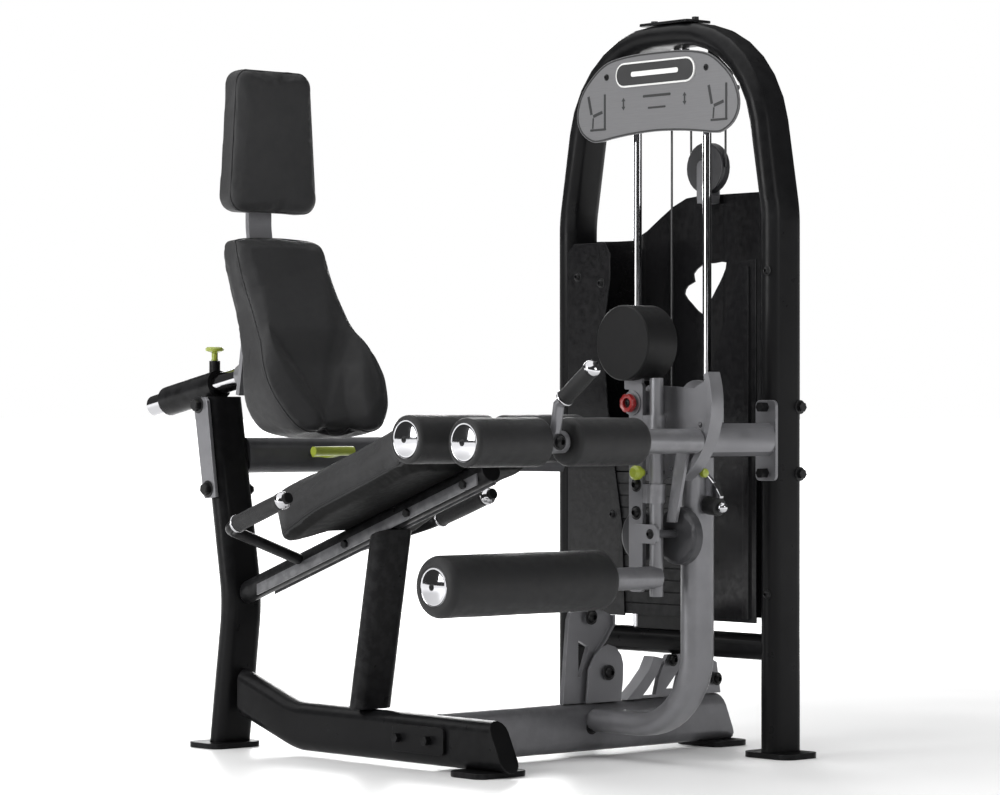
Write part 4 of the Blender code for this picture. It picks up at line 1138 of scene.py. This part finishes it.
def pictogram(name, y, z, face):
    """Generic line symbol of a seat, a back rest and a roller arm."""
    seat = [(y - 0.026, z - 0.004), (y + 0.004, z - 0.012)]
    back = [(y + 0.010, z - 0.008), (y + 0.020, z + 0.034)]
    post = [(y + 0.004, z - 0.016), (y + 0.006, z - 0.040)]
    tower = [(y - 0.034, z - 0.042), (y - 0.034, z + 0.036)]
    for k, (line, width) in enumerate(((seat, 0.007), (back, 0.007), (post, 0.004), (tower, 0.006))):
        raised(f"{name}_{k}", stroke(line, width), face, PRINT, INK)
    base = bar(y - 0.038, y + 0.014, z - 0.046, z - 0.041, 0.002)
    raised(name + "_base", base, face, PRINT, INK)


def arrow(name, y, z, face):
    """Generic double-ended travel arrow."""
    right = [(0.006, -0.006), (0.002, -0.006), (0.002, 0.006), (0.006, 0.006)]
    left = [(-u, -v) for u, v in right]
    outline = [(0.0, 0.014), *left, (0.0, -0.014), *right]
    raised(name, [(y + u, z + v) for u, v in outline], face, PRINT, INK)


def stack_labels():
    """Number labels down the front of the weight plates."""
    low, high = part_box("weight_stack_lower")
    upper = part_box("weight_stack_upper")[0]
    plates = 12
    pitch = (high.z - low.z) / plates
    y = low.y + 0.052
    rows = [("frame", low.x, high.z - pitch * (k + 0.58), 30 + 10 * k) for k in range(plates)]
    rows += [("stack", upper.x, upper.z + 0.0133 + pitch * k * 0.98, 20 - 10 * k) for k in range(2)]
    for body, x, z, number in rows:
        plate = bar(y - 0.013, y + 0.013, z - 0.006, z + 0.006, 0.002)
        raised(f"label_{number}", plate, x, 0.0005, WHITE_INK, body)
        text = bpy.data.curves.new(f"number_{number}", "FONT")
        text.body = str(number)
        text.size = 0.0105
        text.extrude = 0.0002
        text.align_x = "CENTER"
        text.align_y = "CENTER"
        letters = linked("letters", text)
        mesh = evaluated(letters)
        bpy.data.objects.remove(letters)
        mesh.transform(Matrix(((0, 0, -1, x - 0.0006), (-1, 0, 0, y), (0, 1, 0, z), (0, 0, 0, 1))))
        mesh_piece(f"number_{number}", mesh, INK, body)


placard_art()
stack_labels()


# ---- studio ---------------------------------------------------------------

CAMERA_PLACE = Vector((-5.07076, -5.75985, 0.75))
CAMERA_LOOK = Vector((0.6681, 0.7441, 0.0))
LENS = 125.06
SHIFT_Y = 0.0155
FLOOR_RADIUS = 400.0
GLOW_START = 2.2
GLOW_FULL = 4.5
SKY_LIGHT = 0.24
SKY_MIRROR = 0.25
WHITE = (1.0, 1.0, 1.0, 1.0)


def aim(made, place, look):
    """Put a camera or light at a place, looking in a direction."""
    made.location = place
    made.rotation_mode = "QUATERNION"
    made.rotation_quaternion = look.to_track_quat("-Z", "Y")


def camera():
    """Long lens at seat height, from the user's front left."""
    data = bpy.data.cameras.new("camera")
    data.lens = LENS
    data.sensor_width = 36.0
    data.shift_y = SHIFT_Y
    data.clip_end = 900.0
    made = linked("camera", data)
    aim(made, CAMERA_PLACE, CAMERA_LOOK)
    bpy.context.scene.camera = made


def floor():
    """Pale floor that glows to plain white away from the machine."""
    shape = bmesh.new()
    bmesh.ops.create_circle(shape, cap_ends=True, segments=128, radius=FLOOR_RADIUS)
    mesh = bpy.data.meshes.new("floor")
    shape.to_mesh(mesh)
    shape.free()
    made = linked("floor", mesh)
    made.location.z = -0.0005
    shade = Shade("floor_finish", (0.90, 0.90, 0.90), 0.34, Specular_IOR_Level=0.3)
    shade.rough(shade.noise(0.6, 1.0), 0.03)
    place = shade.node("NewGeometry").outputs["Position"]
    distance = shade.node("VectorMath", [(0, place)], operation="LENGTH").outputs["Value"]
    shade.shader.inputs["Emission Color"].default_value = WHITE
    glow = shade.span(distance, GLOW_START, GLOW_FULL, 0.0, 1.0)
    shade.tree.links.new(glow, shade.shader.inputs["Emission Strength"])
    mesh.materials.append(shade.made)


def sky():
    """White backdrop that lights and mirrors less strongly than it shows."""
    world = bpy.data.worlds.new("studio")
    world.use_nodes = True
    bpy.context.scene.world = world
    tree = world.node_tree
    background = tree.nodes["Background"]
    background.inputs["Color"].default_value = WHITE
    path = tree.nodes.new("ShaderNodeLightPath")
    both = tree.nodes.new("ShaderNodeMath")
    both.operation = "MULTIPLY"
    rays = (("Is Camera Ray", SKY_LIGHT, 1.0), ("Is Glossy Ray", 1.0, SKY_MIRROR))
    for slot, (ray, without, within) in enumerate(rays):
        strength = tree.nodes.new("ShaderNodeMapRange")
        strength.inputs["To Min"].default_value = without
        strength.inputs["To Max"].default_value = within
        tree.links.new(path.outputs[ray], strength.inputs["Value"])
        tree.links.new(strength.outputs["Result"], both.inputs[slot])
    tree.links.new(both.outputs[0], background.inputs["Strength"])


def softbox(name, place, target, size, power):
    """Square area light aimed at a point."""
    data = bpy.data.lights.new(name, "AREA")
    data.shape = "SQUARE"
    data.size = size
    data.energy = power
    aim(linked(name, data), place, Vector(target) - Vector(place))


def lights():
    """Wide overhead light and three softboxes."""
    overhead = bpy.data.lights.new("overhead", "SUN")
    overhead.energy = 3.1
    overhead.angle = math.radians(100)
    linked("overhead", overhead).rotation_euler = (math.radians(-8), math.radians(-14), 0.0)
    softbox("left_light", (-5.5, 1.2, 2.3), (0.0, 0.0, 0.9), 2.6, 205.0)
    softbox("front_light", (1.8, -6.0, 2.6), (0.1, 0.0, 0.9), 2.2, 70.0)
    softbox("back_light", (3.5, 4.5, 2.4), (0.2, 0.0, 1.0), 2.0, 120.0)
    bpy.context.scene.view_settings.view_transform = "Standard"


camera()
floor()
sky()
lights()
